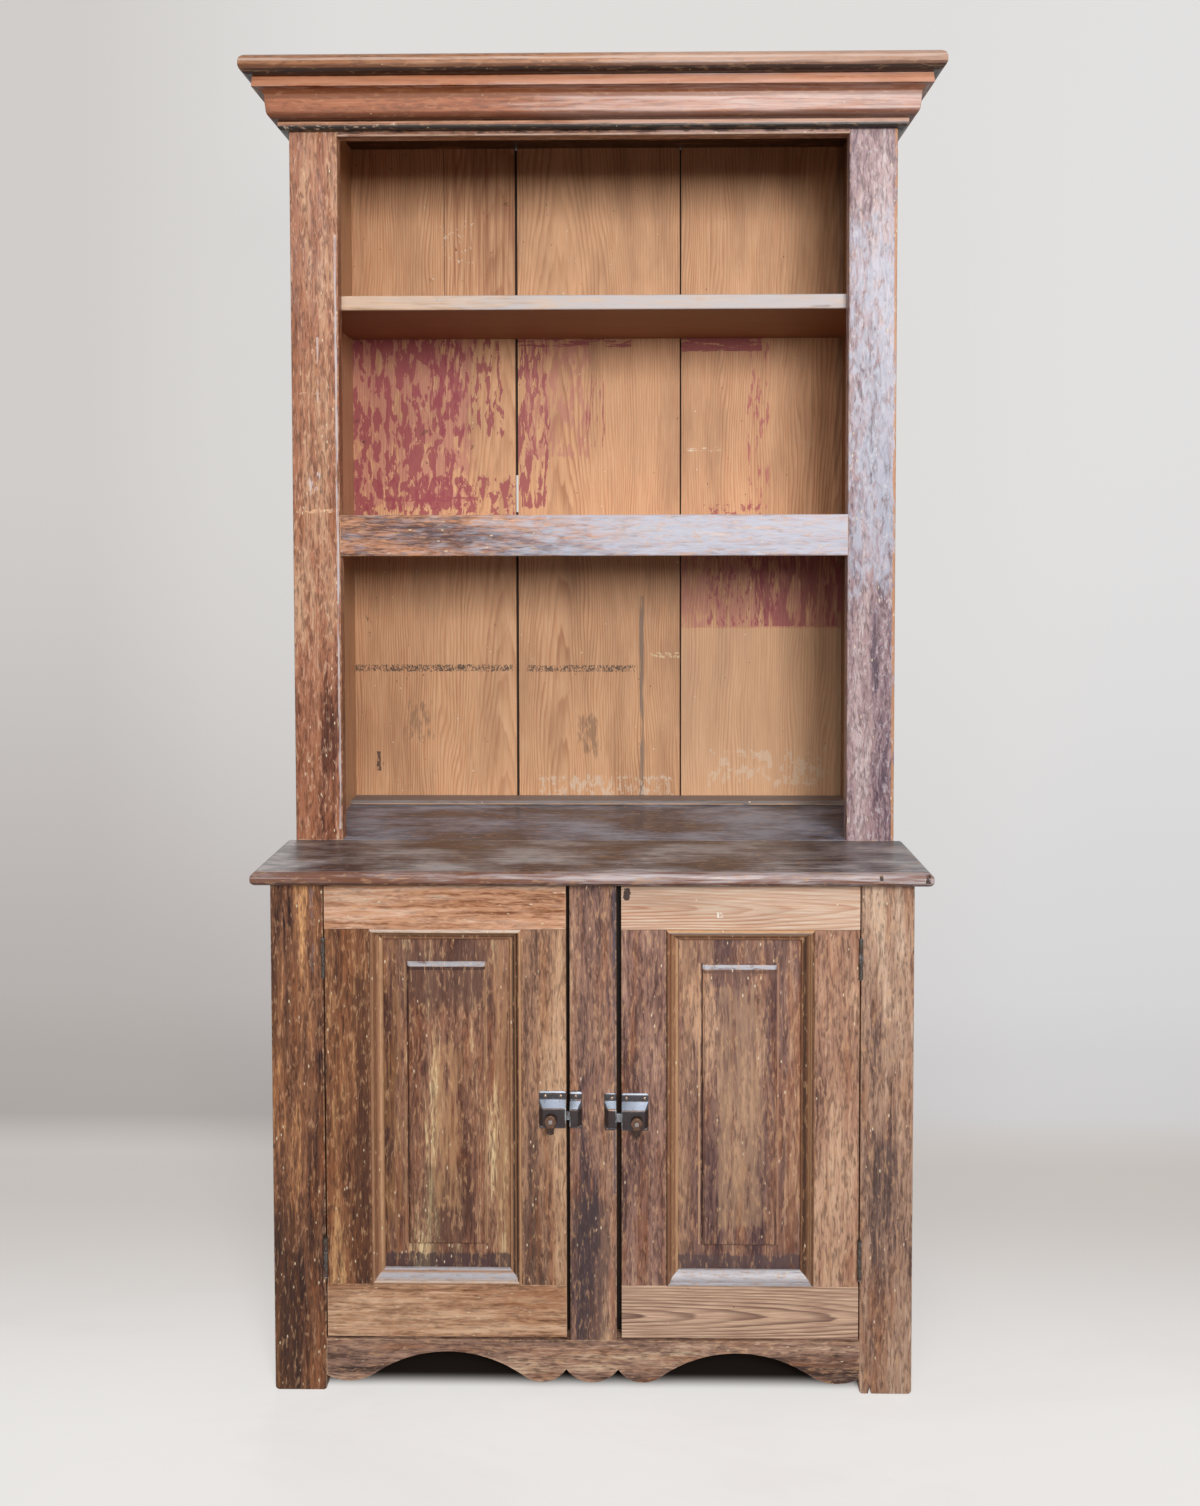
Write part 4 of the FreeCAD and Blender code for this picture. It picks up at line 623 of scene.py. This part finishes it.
pineBoards = {
    "hutch_back_board_left": {
        "heart": -175, "heartLevel": 860, "taper": 0.05, "heartDepth": 60, "marks": [
            mark(crimsonThin, 0.55, (-500, -190, 1300, 1700), 50, (14, 40), 0.43, 0.07),
            mark(crimson, 0.85, (-500, -215, 1300, 1700), 40, (13, 42), 0.5, 0.015, detail=6.0),
            mark(crimson, 0.85, (-360, -130, 1430, 1700), 50, (11, 44), 0.53, 0.015, detail=6.0),
            mark(crimson, 0.85, (-500, -130, 1300, 1420), 24, (12, 26), 0.52, 0.015, detail=6.0),
            mark(crimson, 0.75, (-400, -220, 1350, 1364), 3, (6, 18), 0.46, along="x"),
            mark(inkBlack, 0.85, (-463, -153, 1029, 1054), 7, (7, 12), 0.5, 0.03, curl=2.6),
            mark("3F342F", 0.85, (-424, -400, 840, 892), 9, (8, 20), 0.45),
            mark("8A6A50", 0.6, (-400, -270, 860, 1020), 50, (7, 30), 0.5, 0.08),
            mark("5A4334", 0.6, (-480, -380, 1060, 1250), 50, (5, 12), 0.6, 0.05),
            mark("54301D", 0.85, (-283.4, -281.4, 1700, 2010), 0.4, (40, 40), 0.1),
            mark("985836", 0.65, (-282, -140, 1700, 2040), 1, (3, 240), 0.52, 0.12),
            mark(limeWhite, 0.9, (-300, -215, 1780, 1880), 14, (5, 6), 0.64, 0.02)]},
    "hutch_back_board_centre": {
        "heart": -70, "heartLevel": 1080, "taper": 0.045, "heartDepth": 30, "marks": [
            mark(crimson, 0.85, (-170, -70, 1320, 1700), 24, (9, 44), 0.5, 0.015, detail=6.0),
            mark(crimsonThin, 0.55, (-170, 20, 1400, 1700), 40, (9, 50), 0.5, 0.06),
            mark(crimson, 0.8, (-160, 70, 1632, 1670), 7, (8, 40), 0.5, along="x"),
            mark(crimson, 0.7, (-34, 26, 1440, 1600), 14, (5, 50), 0.55),
            mark(inkBlack, 0.8, (-137, 76, 1029, 1052), 6, (7, 12), 0.51, 0.03, curl=2.6),
            mark("75685F", 0.75, (74, 90, 780, 1180), 5, (6, 80), 0.42, 0.08),
            mark("7A5C48", 0.6, (-85, 50, 830, 1000), 60, (9, 32), 0.46, 0.1),
            mark("E0CDB8", 0.6, (-130, 160, 780, 860), 24, (7, 14), 0.53, 0.05),
            mark("E9CFA6", 0.8, (95, 160, 1056, 1074), 4, (4, 9), 0.52, along="x")]},
    "hutch_back_board_right": {
        "heart": 470, "heartLevel": 700, "taper": 0.05, "heartDepth": 40, "marks": [
            # Painted shadow of the right stile, down the board's right edge.
            mark("5A3B28", 0.6, (428, 480, 600, 2100), 22, (10, 200), 0.3, 0.25),
            mark("DDB693", 0.35, (120, 480, 700, 1116), 1, (60, 60), 0.1),
            mark(crimsonThin, 0.6, (150, 500, 1116, 1290), 1.5, (12, 60), 0.47, 0.1),
            mark(crimson, 0.75, (200, 340, 1116, 1290), 4, (6, 26), 0.55, 0.03, detail=6.0),
            mark("913C49", 0.7, (290, 500, 1116, 1290), 4, (9, 60), 0.5, 0.05, detail=6.0),
            mark(crimson, 0.85, (150, 310, 1624, 1680), 6, (8, 50), 0.42, along="x"),
            mark("B4585F", 0.75, (262, 336, 1320, 1670), 18, (6, 40), 0.58, 0.03),
            mark(crimson, 0.8, (190, 310, 1320, 1352), 6, (8, 10), 0.55),
            mark("F4E9D2", 0.9, (160, 236, 1440, 1456), 5, (2, 12), 0.58, along="x"),
            mark("E0CBB4", 0.5, (170, 470, 780, 930), 45, (14, 22), 0.54, 0.04)]},
    "back_strip": {
        "along": "x", "deep": (190, 205), "early": "857B78", "earlyPale": "9B9290", "late": "5E5350",
        "marks": [
            # Painted highlight along the strip's upper edge.
            mark("DDB08A", 0.8, (-460, 460, 794, 797.5), 1, (8, 60), 0.42, 0.08)]},
    "upper_shelf": {
        "along": "x", "deep": (-60, -37), "early": "A08058", "late": "6E5238", "marks": [
            # Painted sheen: pale along the front edge and bluish, growing to the right.
            mark("DCC0AC", 0.8, (-470, 470, 1600, 1690), 1, (7, 90), 0.36, 0.2),
            mark("C0BFC5", 0.8, (-460, 1400, 1200, 2100), 560, (7, 60), 0.24, 0.22),
            mark("8E7A76", 0.7, (300, 470, 1600, 1690), 40, (5, 40), 0.5, 0.1),
            # Painted shade on the shelf's underside.
            mark("7A4728", 0.85, (-470, 470, 1652, 1656), 0.5, (30, 300), 0.2, deep=(-36, 300))]},
    "middle_shelf": {
        "along": "x", "deep": (-36, 300), "early": "B08464", "late": "7A543C", "marks": [
            # Painted shade on the shelf's underside.
            mark("7A4728", 0.85, (-470, 470, 1296, 1300), 0.5, (30, 300), 0.2)]},
    "right_door_top_rail": {
        **pineRail, "early": "D7AC90", "earlyPale": "E8D5C1", "late": "AD7051", "heart": 735,
        "heartDepth": 10, "heartLevel": 190, "taper": 0.06, "wander": 14, "lateStrength": 0.6, "marks": [
            mark("F6F0E6", 1.0, (184, 198, 718, 731), 3, (8, 8), 0.5, along="z"),
            mark("3C2820", 1.0, (43, 62, 742, 770), 6, (9, 9), 0.42, along="z")]},
    "right_door_bottom_rail": {
        **pineRail, "early": "B78F7A", "earlyPale": "EFCEB0", "late": "6C4C42", "heart": 118,
        "heartDepth": 12, "heartLevel": 150, "taper": 0.05, "wander": 16, "lateStrength": 0.7},
    "base_back_boards": {"heart": 100},
    "base_floor": {"along": "x"},
    "base_shelf": {"along": "x"},
    "base_shelf_cleats": {"along": "y"},
    # Door stops painted near black, as the shade in the gaps round the doors.
    "door_stops": {"early": "241A14", "earlyPale": "2E221B", "late": "1A120E"},
}


def barePine(name, board, seed):
    spec = {**plainPine, **board}
    low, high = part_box(name)
    material, tree, coords = newFinish("agedPineOn_" + name)
    along = "xyz".index(spec["along"])
    across = 2 if along == 0 and (high - low).z > (high - low).y else (1 if along == 0 else 0)
    parts = add(tree, "SeparateXYZ", {"Vector": coords}).outputs
    wander = drawnNoise(tree, coords, spec["along"], 90, 500, seed, 2.0)
    wobble = add(tree, "Math", [wander, spec["wander"] * mm,
                                -spec["heart"] * mm - spec["wander"] / 2 * mm], operation="MULTIPLY_ADD")
    sideways = add(tree, "Math", [parts[across], wobble], operation="ADD")
    depth = add(tree, "Math", [parts[along], spec["taper"],
                               (spec["heartDepth"] - spec["heartLevel"] * spec["taper"]) * mm],
                operation="MULTIPLY_ADD")
    flat = add(tree, "CombineXYZ", [sideways, depth])
    radius = add(tree, "VectorMath", [flat], operation="LENGTH")
    fine = drawnNoise(tree, coords, spec["along"], 30, 320, seed + 1, 3.0)
    rings = add(tree, "Math", [radius.outputs["Value"], 1000 / spec["ringWidth"]], operation="MULTIPLY")
    rings = add(tree, "Math", [fine, 2.2, rings], operation="MULTIPLY_ADD")
    turn = add(tree, "Math", [rings], operation="FRACT")
    late = add(tree, "MapRange", [turn, 0.3, 0.9], **smooth)
    ended = add(tree, "MapRange", [turn, 1.0, 0.9])
    late = add(tree, "Math", [late, ended], operation="MULTIPLY")
    strong = drawnNoise(tree, coords, spec["along"], 40, 300, seed + 2.5, 2.0)
    strong = add(tree, "MapRange", [strong, 0.35, 0.65, spec["lateStrength"] * 0.4,
                                    spec["lateStrength"] * 1.4])
    late = add(tree, "Math", [late, strong], operation="MULTIPLY")
    fibre = drawnNoise(tree, coords, spec["along"], 1.8, 60, seed + 2, 3.0)
    pale = add(tree, "MapRange", [fibre, 0.35, 0.68])
    tone = drawnNoise(tree, coords, spec["along"], 50, 260, seed + 3, 4.0)
    soil = add(tree, "MapRange", [tone, 0.45, 0.8, 0.0, 0.5])
    pits = specks(tree, coords, spec["along"], 21, 30, 0.06, seed + 4)
    chips = specks(tree, coords, spec["along"], 25, 33, 0.06, seed + 5)
    early = stackCoats(tree, toLinear(spec["early"]), [(pale, spec["earlyPale"])])
    coats = [(late, spec["late"]), (soil, spec["dirt"]), (pits, "4A3022"), (chips, "EFE0C8")]
    coats += markCoats(tree, coords, spec["marks"], spec, low, seed + 7)
    colour = stackCoats(tree, early, coats)
    roughness = add(tree, "MapRange", [fibre, 0.0, 1.0, spec["gloss"] - 0.08, spec["gloss"] + 0.1])
    relief = add(tree, "Math", [late, 0.8, fibre], operation="MULTIPLY_ADD")
    closeFinish(tree, colour, roughness, relief, 0.3)
    dress(shown[name], material)


finishEach(pineBoards, barePine, seed=90, step=3.3)
print("pine done:", len(pineBoards))


# ---- loose tongues in the joints of the back, painted near black as the shade in the joints, so they read as dark lines; the left one has lost a stretch

backTongues = {
    "front": 252.5,       # mm
    "back": 259.5,
    "joints": [(-152.2, -146.8, 795, 1333), (-152.2, -146.8, 1402, 2001), (152.8, 156.2, 795, 2001)],
    "ease": 0.6,
}


def makeTongues():
    work = bmesh.new()
    for left, right, bottom, top in backTongues["joints"]:
        size = Vector((right - left, backTongues["back"] - backTongues["front"], top - bottom)) * mm
        middle = Vector((right + left, backTongues["back"] + backTongues["front"], top + bottom)) / 2 * mm
        made = bmesh.ops.create_cube(work, size=1.0)["verts"]
        bmesh.ops.scale(work, verts=made, vec=size)
        bmesh.ops.translate(work, verts=made, vec=middle)
    long = [edge for edge in work.edges if abs((edge.verts[0].co - edge.verts[1].co).z) > 0.1]
    bmesh.ops.bevel(work, geom=long, offset=backTongues["ease"] * mm, affect="EDGES",
                    segments=2, profile=0.5, material=-1)
    piece = keep(work, "back_joint_tongues", "case")
    material, tree, coords = newFinish("shadedPineOn_back_joint_tongues")
    fibre = drawnNoise(tree, coords, "z", 2.5, 60, 3.7, 3.0)
    # Near-black tones: painted shade in the joints.
    tone = stackCoats(tree, toLinear("2A1D15"), [(fibre, "3F2E22")])
    rough = add(tree, "MapRange", [fibre, 0.0, 1.0, 0.7, 0.9])
    closeFinish(tree, tone, rough, fibre, 0.2)
    dress(piece, material)


makeTongues()
print("back joints done")


# ---- ironwork: cast and blackened latches, and sheet hinges gone grey

ironwork = {
    "iron": "55555C",
    "knob": "755A4C",
    "ironWorn": "C2C9D2",
    "copperWorn": "C08468",
    "rust": "54392C",
    "hinge": "5A5550",
    "bolt": "8E9196",
    "marks": {"along": "z", "deep": (-270, -200)},
    "bands": [      # mm from a latch's middle: flange's edge, flange, shoulder, its foot, case, its edge; the pale blue-grey on the flange's edge, the shoulder and the case's edge is painted highlight
        (25.4, 29, "C6CEDC", 0.9), (17, 25.4, "474345", 0.75), (6.4, 16, "848D9B", 0.85),
        (4.8, 6.2, "B08C72", 0.8), (-21.5, 4.4, "443A39", 0.8), (-24, -21.8, "7C838E", 0.7),
    ],
    "seeds": (160, 2.9),
}


def caseMarks(low, high):  # what shows on a latch's flange, shoulder and front, painted highlights among them
    level = (low.z + high.z) / 2 / mm
    left, right = low.x / mm - 1, high.x / mm + 1
    return [mark(tone, strength, (left, right, level + lower, level + upper), 0.5, (5, 5), 0.3, 0.12)
            for lower, upper, tone, strength in ironwork["bands"]]


def knobMarks(low, high):  # the dark thumb piece, and the bright end of the spindle
    middle, axis = (low.x + high.x) / 2 / mm, high.z / mm - 8.8
    return [mark("3A2F2C", 0.8, (middle - 12, middle + 12, axis - 30, axis - 7), 3, (5, 5), 0.3, 0.12),
            mark("AAA6A6", 0.8, (middle - 3, middle + 3, axis - 3, axis + 3), 0.8, (9, 9), 0.1, 0.1)]


def blackIron(piece, name, colour, worn, seed):
    low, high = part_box(name)
    material, tree, coords = newFinish("blackenedIronOn_" + piece.name)
    wear = edgeWear(tree, coords, low, high, 1.6, seed)
    film = drawnNoise(tree, coords, "z", 10, 10, seed + 1, 4.0)
    film = add(tree, "MapRange", [film, 0.46, 0.66, 0.0, 0.75], **smooth)
    grit = drawnNoise(tree, coords, "z", 2.2, 2.2, seed + 2, 3.0)
    rubbedSpots = add(tree, "MapRange", [grit, 0.6, 0.72, 0.0, 0.6])
    coats = [(film, ironwork["rust"]), (rubbedSpots, worn)]
    marks = []
    if "latch_case" in name or "strike" in name:
        marks = caseMarks(low, high)
    if "knob" in name:
        marks = knobMarks(low, high)
    coats += markCoats(tree, coords, marks, ironwork["marks"], low, seed + 3)
    tone = stackCoats(tree, toLinear(colour), coats + [(wear, worn)])
    rough = add(tree, "MapRange", [grit, 0.0, 1.0, 0.3, 0.56])
    closeFinish(tree, tone, rough, grit, 0.2, Metallic=0.8)
    dress(piece, material)


ironNames = [name for name in nodes if "latch" in name or "hinge_leaves" in name or "case_leaves" in name
             or name == "hinge_pins"]
for number, name in enumerate(ironNames):
    part = next((part for part in ("hinge", "bolt", "knob") if part in name), "iron")
    colour = ironwork[part]
    worn = ironwork["copperWorn"] if "knob" in name else ironwork["ironWorn"]
    blackIron(shown[name], name, colour, worn, ironwork["seeds"][0] + number * ironwork["seeds"][1])
print("ironwork done:", len(ironNames))


# ---- round-headed screws in the flanges of the latches, each with its slot turned its own way

latchScrews = {
    "radius": 2.3,
    "proud": 1.1,
    "slotWide": 0.7,
    "slotDeep": 0.6,
    "flangeFace": -235.0,
    "places": {
        "left_door": [(-69, 453, 20), (-46, 453, -35), (-73, 407.5, 60)],
        "case": [(-23.5, 453, 10), (-20, 407.5, 75), (30, 450, -20), (24, 404.5, 40)],
        "right_door": [(52, 450, 5), (79, 450, 80), (79.5, 404.5, -50)],
    },
}


def screwHead(work, x, z, turn):
    made = bmesh.ops.create_uvsphere(work, u_segments=14, v_segments=10, radius=latchScrews["radius"] * mm)
    verts = made["verts"]
    edges = list({edge for vert in verts for edge in vert.link_edges})
    faces = list({face for vert in verts for face in vert.link_faces})
    cut = bmesh.ops.bisect_plane(work, geom=verts + edges + faces, plane_co=(0, 0, 0), plane_no=(0, 0, 1),
                                 clear_inner=True)
    half = latchScrews["slotWide"] / 2 * mm
    head = [item for item in cut["geom"] if item.is_valid]
    for offset in (-half * 1.3, -half, half, half * 1.3):
        cut = bmesh.ops.bisect_plane(work, geom=head, plane_co=(offset, 0, 0), plane_no=(1, 0, 0))
        head = [item for item in cut["geom"] if item.is_valid]
    verts = [item for item in head if isinstance(item, bmesh.types.BMVert)]
    top = latchScrews["radius"] / 2 * mm
    slot = [vert for vert in verts if abs(vert.co.x) <= half * 1.01 and vert.co.z > top]
    bmesh.ops.scale(work, verts=verts, vec=(1, 1, latchScrews["proud"] / latchScrews["radius"]))
    bmesh.ops.translate(work, verts=slot, vec=(0, 0, -latchScrews["slotDeep"] * mm))
    bmesh.ops.rotate(work, verts=verts, cent=(0, 0, 0), matrix=Matrix.Rotation(math.radians(turn), 3, "Z"))
    bmesh.ops.rotate(work, verts=verts, cent=(0, 0, 0), matrix=Matrix.Rotation(math.radians(90), 3, "X"))
    place = (x * mm, latchScrews["flangeFace"] * mm, z * mm)
    bmesh.ops.translate(work, verts=verts, vec=place)


def screwFinish():
    material, tree, coords = newFinish("rubbedIronOn_latchScrews")
    grit = drawnNoise(tree, coords, "z", 1.2, 1.2, 5.5, 3.0)
    film = add(tree, "MapRange", [grit, 0.4, 0.65])
    tone = stackCoats(tree, toLinear("C3B3A4"), [(film, "8A5A40")])
    rough = add(tree, "MapRange", [grit, 0.0, 1.0, 0.2, 0.45])
    closeFinish(tree, tone, rough, grit, 0.08, Metallic=0.9)
    return material


screwMaterial = screwFinish()
for body, places in latchScrews["places"].items():
    work = bmesh.new()
    for x, z, turn in places:
        screwHead(work, x, z, turn)
    piece = keep(work, "latch_screws_" + body, body)
    dress(piece, screwMaterial)
print("screws done")


# ---- studio: pale floor that sweeps up into the backdrop, soft light from the front right

studio = {
    "floorFront": "F6F4F2",
    "floorBack": "D5D0CC",
    "paintedShadowUnderCase": "2E2824",
    "wallFootShade": ("B8B2AF", "DAD9DA"),       # painted shade at the wall's foot, at the left and at the right
    "wallSides": ("D3D0CE", "E4E3E3"),
    # The wall's middle, painted brighter as a pool of light behind the cupboard.
    "wallMiddleLight": "E2E0DE",
    "sweepStart": 0.42,     # m, behind the middle of the cupboard
    "sweepRadius": 0.16,
    "sweepSteps": 12,
    "sweepFront": -6,
    "sweepSide": 8,
    "wallHeight": 6,
    "underLow": (-0.43, -0.226, -0.01),     # where a shadow is painted on the floor under the case, m
    "underHigh": (0.43, 0.3, 0.01),
    "underFade": 0.036,
    "worldLevel": 0.1,
    "worldShine": 0.35,     # the sky that gloss and metal reflect
    "worldSeen": 0.6,       # and what the camera sees past the floor, on top of the level
    "bounce": "77726E",     # what the pale floor and wall throw back on to the cupboard
    "floorGlow": 0.65,      # the share of the floor's own colour that shows without lamps
    "wallGlow": 0.9,
}
lamps = {       # place, target, size, m, power, W, and tint
    "keyLight": ((0.75, -3.25, 2.05), (0, 0, 1.1), (0.9, 1.0), 70.0, "FFFBF5"),
    "windowLight": ((1.2, -3.2, 2.1), (0.2, 0, 1.2), (1.0, 1.4), 12.0, "E4ECFF"),
    "fillLight": ((-0.9, -3.4, 2.1), (0, 0, 1.0), (1.6, 1.4), 22.0, "FFFDF8"),
    "topLight": ((0.1, -2.6, 3.6), (0, -1.0, 0), (2.2, 1.4), 26.0, "FFFFFF"),
    "rearLight": ((-0.5, 3.3, 2.3), (0, 0, 0.9), (2.0, 1.6), 42.0, "FFFDFA"),
}


def makeStudio():
    plan = bmesh.new()
    radius, start = studio["sweepRadius"], studio["sweepStart"]
    line = [Vector((0, studio["sweepFront"], 0)), Vector((0, start, 0))]
    for step in range(1, studio["sweepSteps"] + 1):
        angle = math.radians(90 * step / studio["sweepSteps"])
        line.append(Vector((0, start + radius * math.sin(angle), radius * (1 - math.cos(angle)))))
    line.append(Vector((0, start + radius, studio["wallHeight"])))
    spots = [plan.verts.new(spot - Vector((studio["sweepSide"], 0, 0))) for spot in line]
    edges = [plan.edges.new(pair) for pair in zip(spots, spots[1:])]
    made = bmesh.ops.extrude_edge_only(plan, edges=edges)["geom"]
    moved = [item for item in made if isinstance(item, bmesh.types.BMVert)]
    bmesh.ops.translate(plan, verts=moved, vec=(studio["sweepSide"] * 2, 0, 0))
    plan.normal_update()
    downwards = [face for face in plan.faces if face.normal.z - face.normal.y < 0]
    bmesh.ops.reverse_faces(plan, faces=downwards)
    mesh = bpy.data.meshes.new("studioSweep")
    plan.to_mesh(mesh)
    plan.free()
    mesh.shade_smooth()
    sweep = bpy.data.objects.new("studioSweep", mesh)
    scene.collection.objects.link(sweep)
    material, tree, coords = newFinish("paintedStudioFloor")
    parts = add(tree, "SeparateXYZ", {"Vector": coords}).outputs
    # Painted light and shade on the stage: the floor paler towards the front, the wall darker at its foot
    # and to the left, and brighter in the middle behind the cupboard.
    nearer = add(tree, "MapRange", [parts["Y"], 0.35, -0.35], **smooth)
    foot = add(tree, "MapRange", [parts["Z"], 0.005, 0.05])
    rise = add(tree, "MapRange", [parts["Z"], 0.05, 1.5], **smooth)
    aside = add(tree, "Math", [parts["X"]], operation="ABSOLUTE")
    middle = add(tree, "MapRange", [aside, 1.1, 0.55])
    middle = add(tree, "Math", [middle, rise], operation="MULTIPLY")
    # A painted shadow on the floor under the case.
    x, y, z = faceDistances(tree, coords, Vector(studio["underLow"]), Vector(studio["underHigh"]))
    within = add(tree, "Math", [x, y], operation="MINIMUM")
    under = add(tree, "MapRange", [within, 0.0, studio["underFade"]], **smooth)
    across = add(tree, "MapRange", [parts["X"], -0.9, 0.9])
    level = add(tree, "Math", [z, 0.0], operation="GREATER_THAN")
    under = add(tree, "Math", [under, level], operation="MULTIPLY")
    mottle = drawnNoise(tree, coords, "x", 260, 700, 2.0, 5.0, 0.6)
    mottle = add(tree, "MapRange", [mottle, 0.5, 0.75, 0.0, 0.3])
    colour = stackCoats(tree, toLinear(studio["floorBack"]), [
        (nearer, studio["floorFront"]), (mottle, "DDD6CF"),
        (foot, stackCoats(tree, toLinear(studio["wallFootShade"][0]), [(across, studio["wallFootShade"][1])])),
        (rise, stackCoats(tree, toLinear(studio["wallSides"][0]), [(across, studio["wallSides"][1])])),
        (middle, studio["wallMiddleLight"]), (under, studio["paintedShadowUnderCase"])])
    path = add(tree, "LightPath").outputs
    seen = add(tree, "Math", [path["Is Camera Ray"], path["Is Glossy Ray"]], operation="MAXIMUM")
    seen = add(tree, "Math", [seen, path["Is Transmission Ray"]], operation="MAXIMUM")
    facing = stackCoats(tree, toLinear(studio["bounce"]), [(seen, colour)])
    lit = add(tree, "BsdfDiffuse", {"Color": facing})
    plain = add(tree, "Emission", {"Color": colour, "Strength": 1.0})
    glow = add(tree, "MapRange", [parts["Z"], 0.0, 0.3, studio["floorGlow"], studio["wallGlow"]])
    # The painted shadow under the case takes no glow.
    dark = add(tree, "MapRange", [under, 0.0, 1.0, 1.0, 0.0])
    glow = add(tree, "Math", [glow, dark], operation="MULTIPLY")
    glow = add(tree, "Math", [glow, seen], operation="MULTIPLY")
    mixed = add(tree, "MixShader", [glow, lit, plain])
    behind = add(tree, "NewGeometry").outputs["Backfacing"]     # the wall is clear from behind
    clear = add(tree, "BsdfTransparent")
    add(tree, "OutputMaterial", {"Surface": add(tree, "MixShader", [behind, mixed, clear])})
    dress(sweep, material)
    sweep.visible_shadow = False        # so the lamp behind the wall reaches the back of the cupboard


def areaLight(name, place, target, size, power, tint):
    lamp = bpy.data.lights.new(name, "AREA")
    lamp.shape = "RECTANGLE"
    lamp.size, lamp.size_y = size
    lamp.energy = power
    lamp.color = toLinear(tint)[:3]
    holder = bpy.data.objects.new(name, lamp)
    scene.collection.objects.link(holder)
    holder.location = place
    holder.visible_camera = False
    holder.rotation_euler = (Vector(target) - Vector(place)).to_track_quat("-Z", "Y").to_euler()


makeStudio()
for name, settings in lamps.items():
    areaLight(name, *settings)

world = bpy.data.worlds.new("studioWorld")
scene.world = world
world.use_nodes = True
world.node_tree.nodes.clear()
path = add(world.node_tree, "LightPath").outputs
seen = add(world.node_tree, "Math", [path["Is Glossy Ray"], path["Is Transmission Ray"]],
           operation="MAXIMUM")
level = add(world.node_tree, "MapRange", [seen, 0.0, 1.0, studio["worldLevel"], studio["worldShine"]])
level = add(world.node_tree, "Math", [path["Is Camera Ray"], studio["worldSeen"], level],
            operation="MULTIPLY_ADD")
sky = add(world.node_tree, "Background", {"Color": toLinear("FFFFFF"), "Strength": level})
add(world.node_tree, "OutputWorld", {"Surface": sky})

viewpoint = {
    "place": (0.0479, -1.9978, 1.2792),
    "turn": 0.0133,         # radians, to the left
    "tilt": -0.0344,        # radians, down
    "roll": -0.0017,
    "focalPixels": 1203,
    "axisPixel": (607.2, 582.1),
    "framePixels": (1200, 1506),
}


def makeCamera():
    data = bpy.data.cameras.new("studioCamera")
    wide, tall = viewpoint["framePixels"]
    data.sensor_width = 36
    data.lens = viewpoint["focalPixels"] * data.sensor_width / tall
    data.shift_x = (wide / 2 - viewpoint["axisPixel"][0]) / tall
    data.shift_y = (viewpoint["axisPixel"][1] - tall / 2) / tall
    camera = bpy.data.objects.new("studioCamera", data)
    scene.collection.objects.link(camera)
    turns = (Matrix.Rotation(viewpoint["turn"], 4, "Z")
             @ Matrix.Rotation(math.pi / 2 + viewpoint["tilt"], 4, "X")
             @ Matrix.Rotation(viewpoint["roll"], 4, "Z"))
    camera.matrix_world = Matrix.Translation(viewpoint["place"]) @ turns
    scene.camera = camera


makeCamera()
scene.view_settings.view_transform = "Standard"
print("studio done")
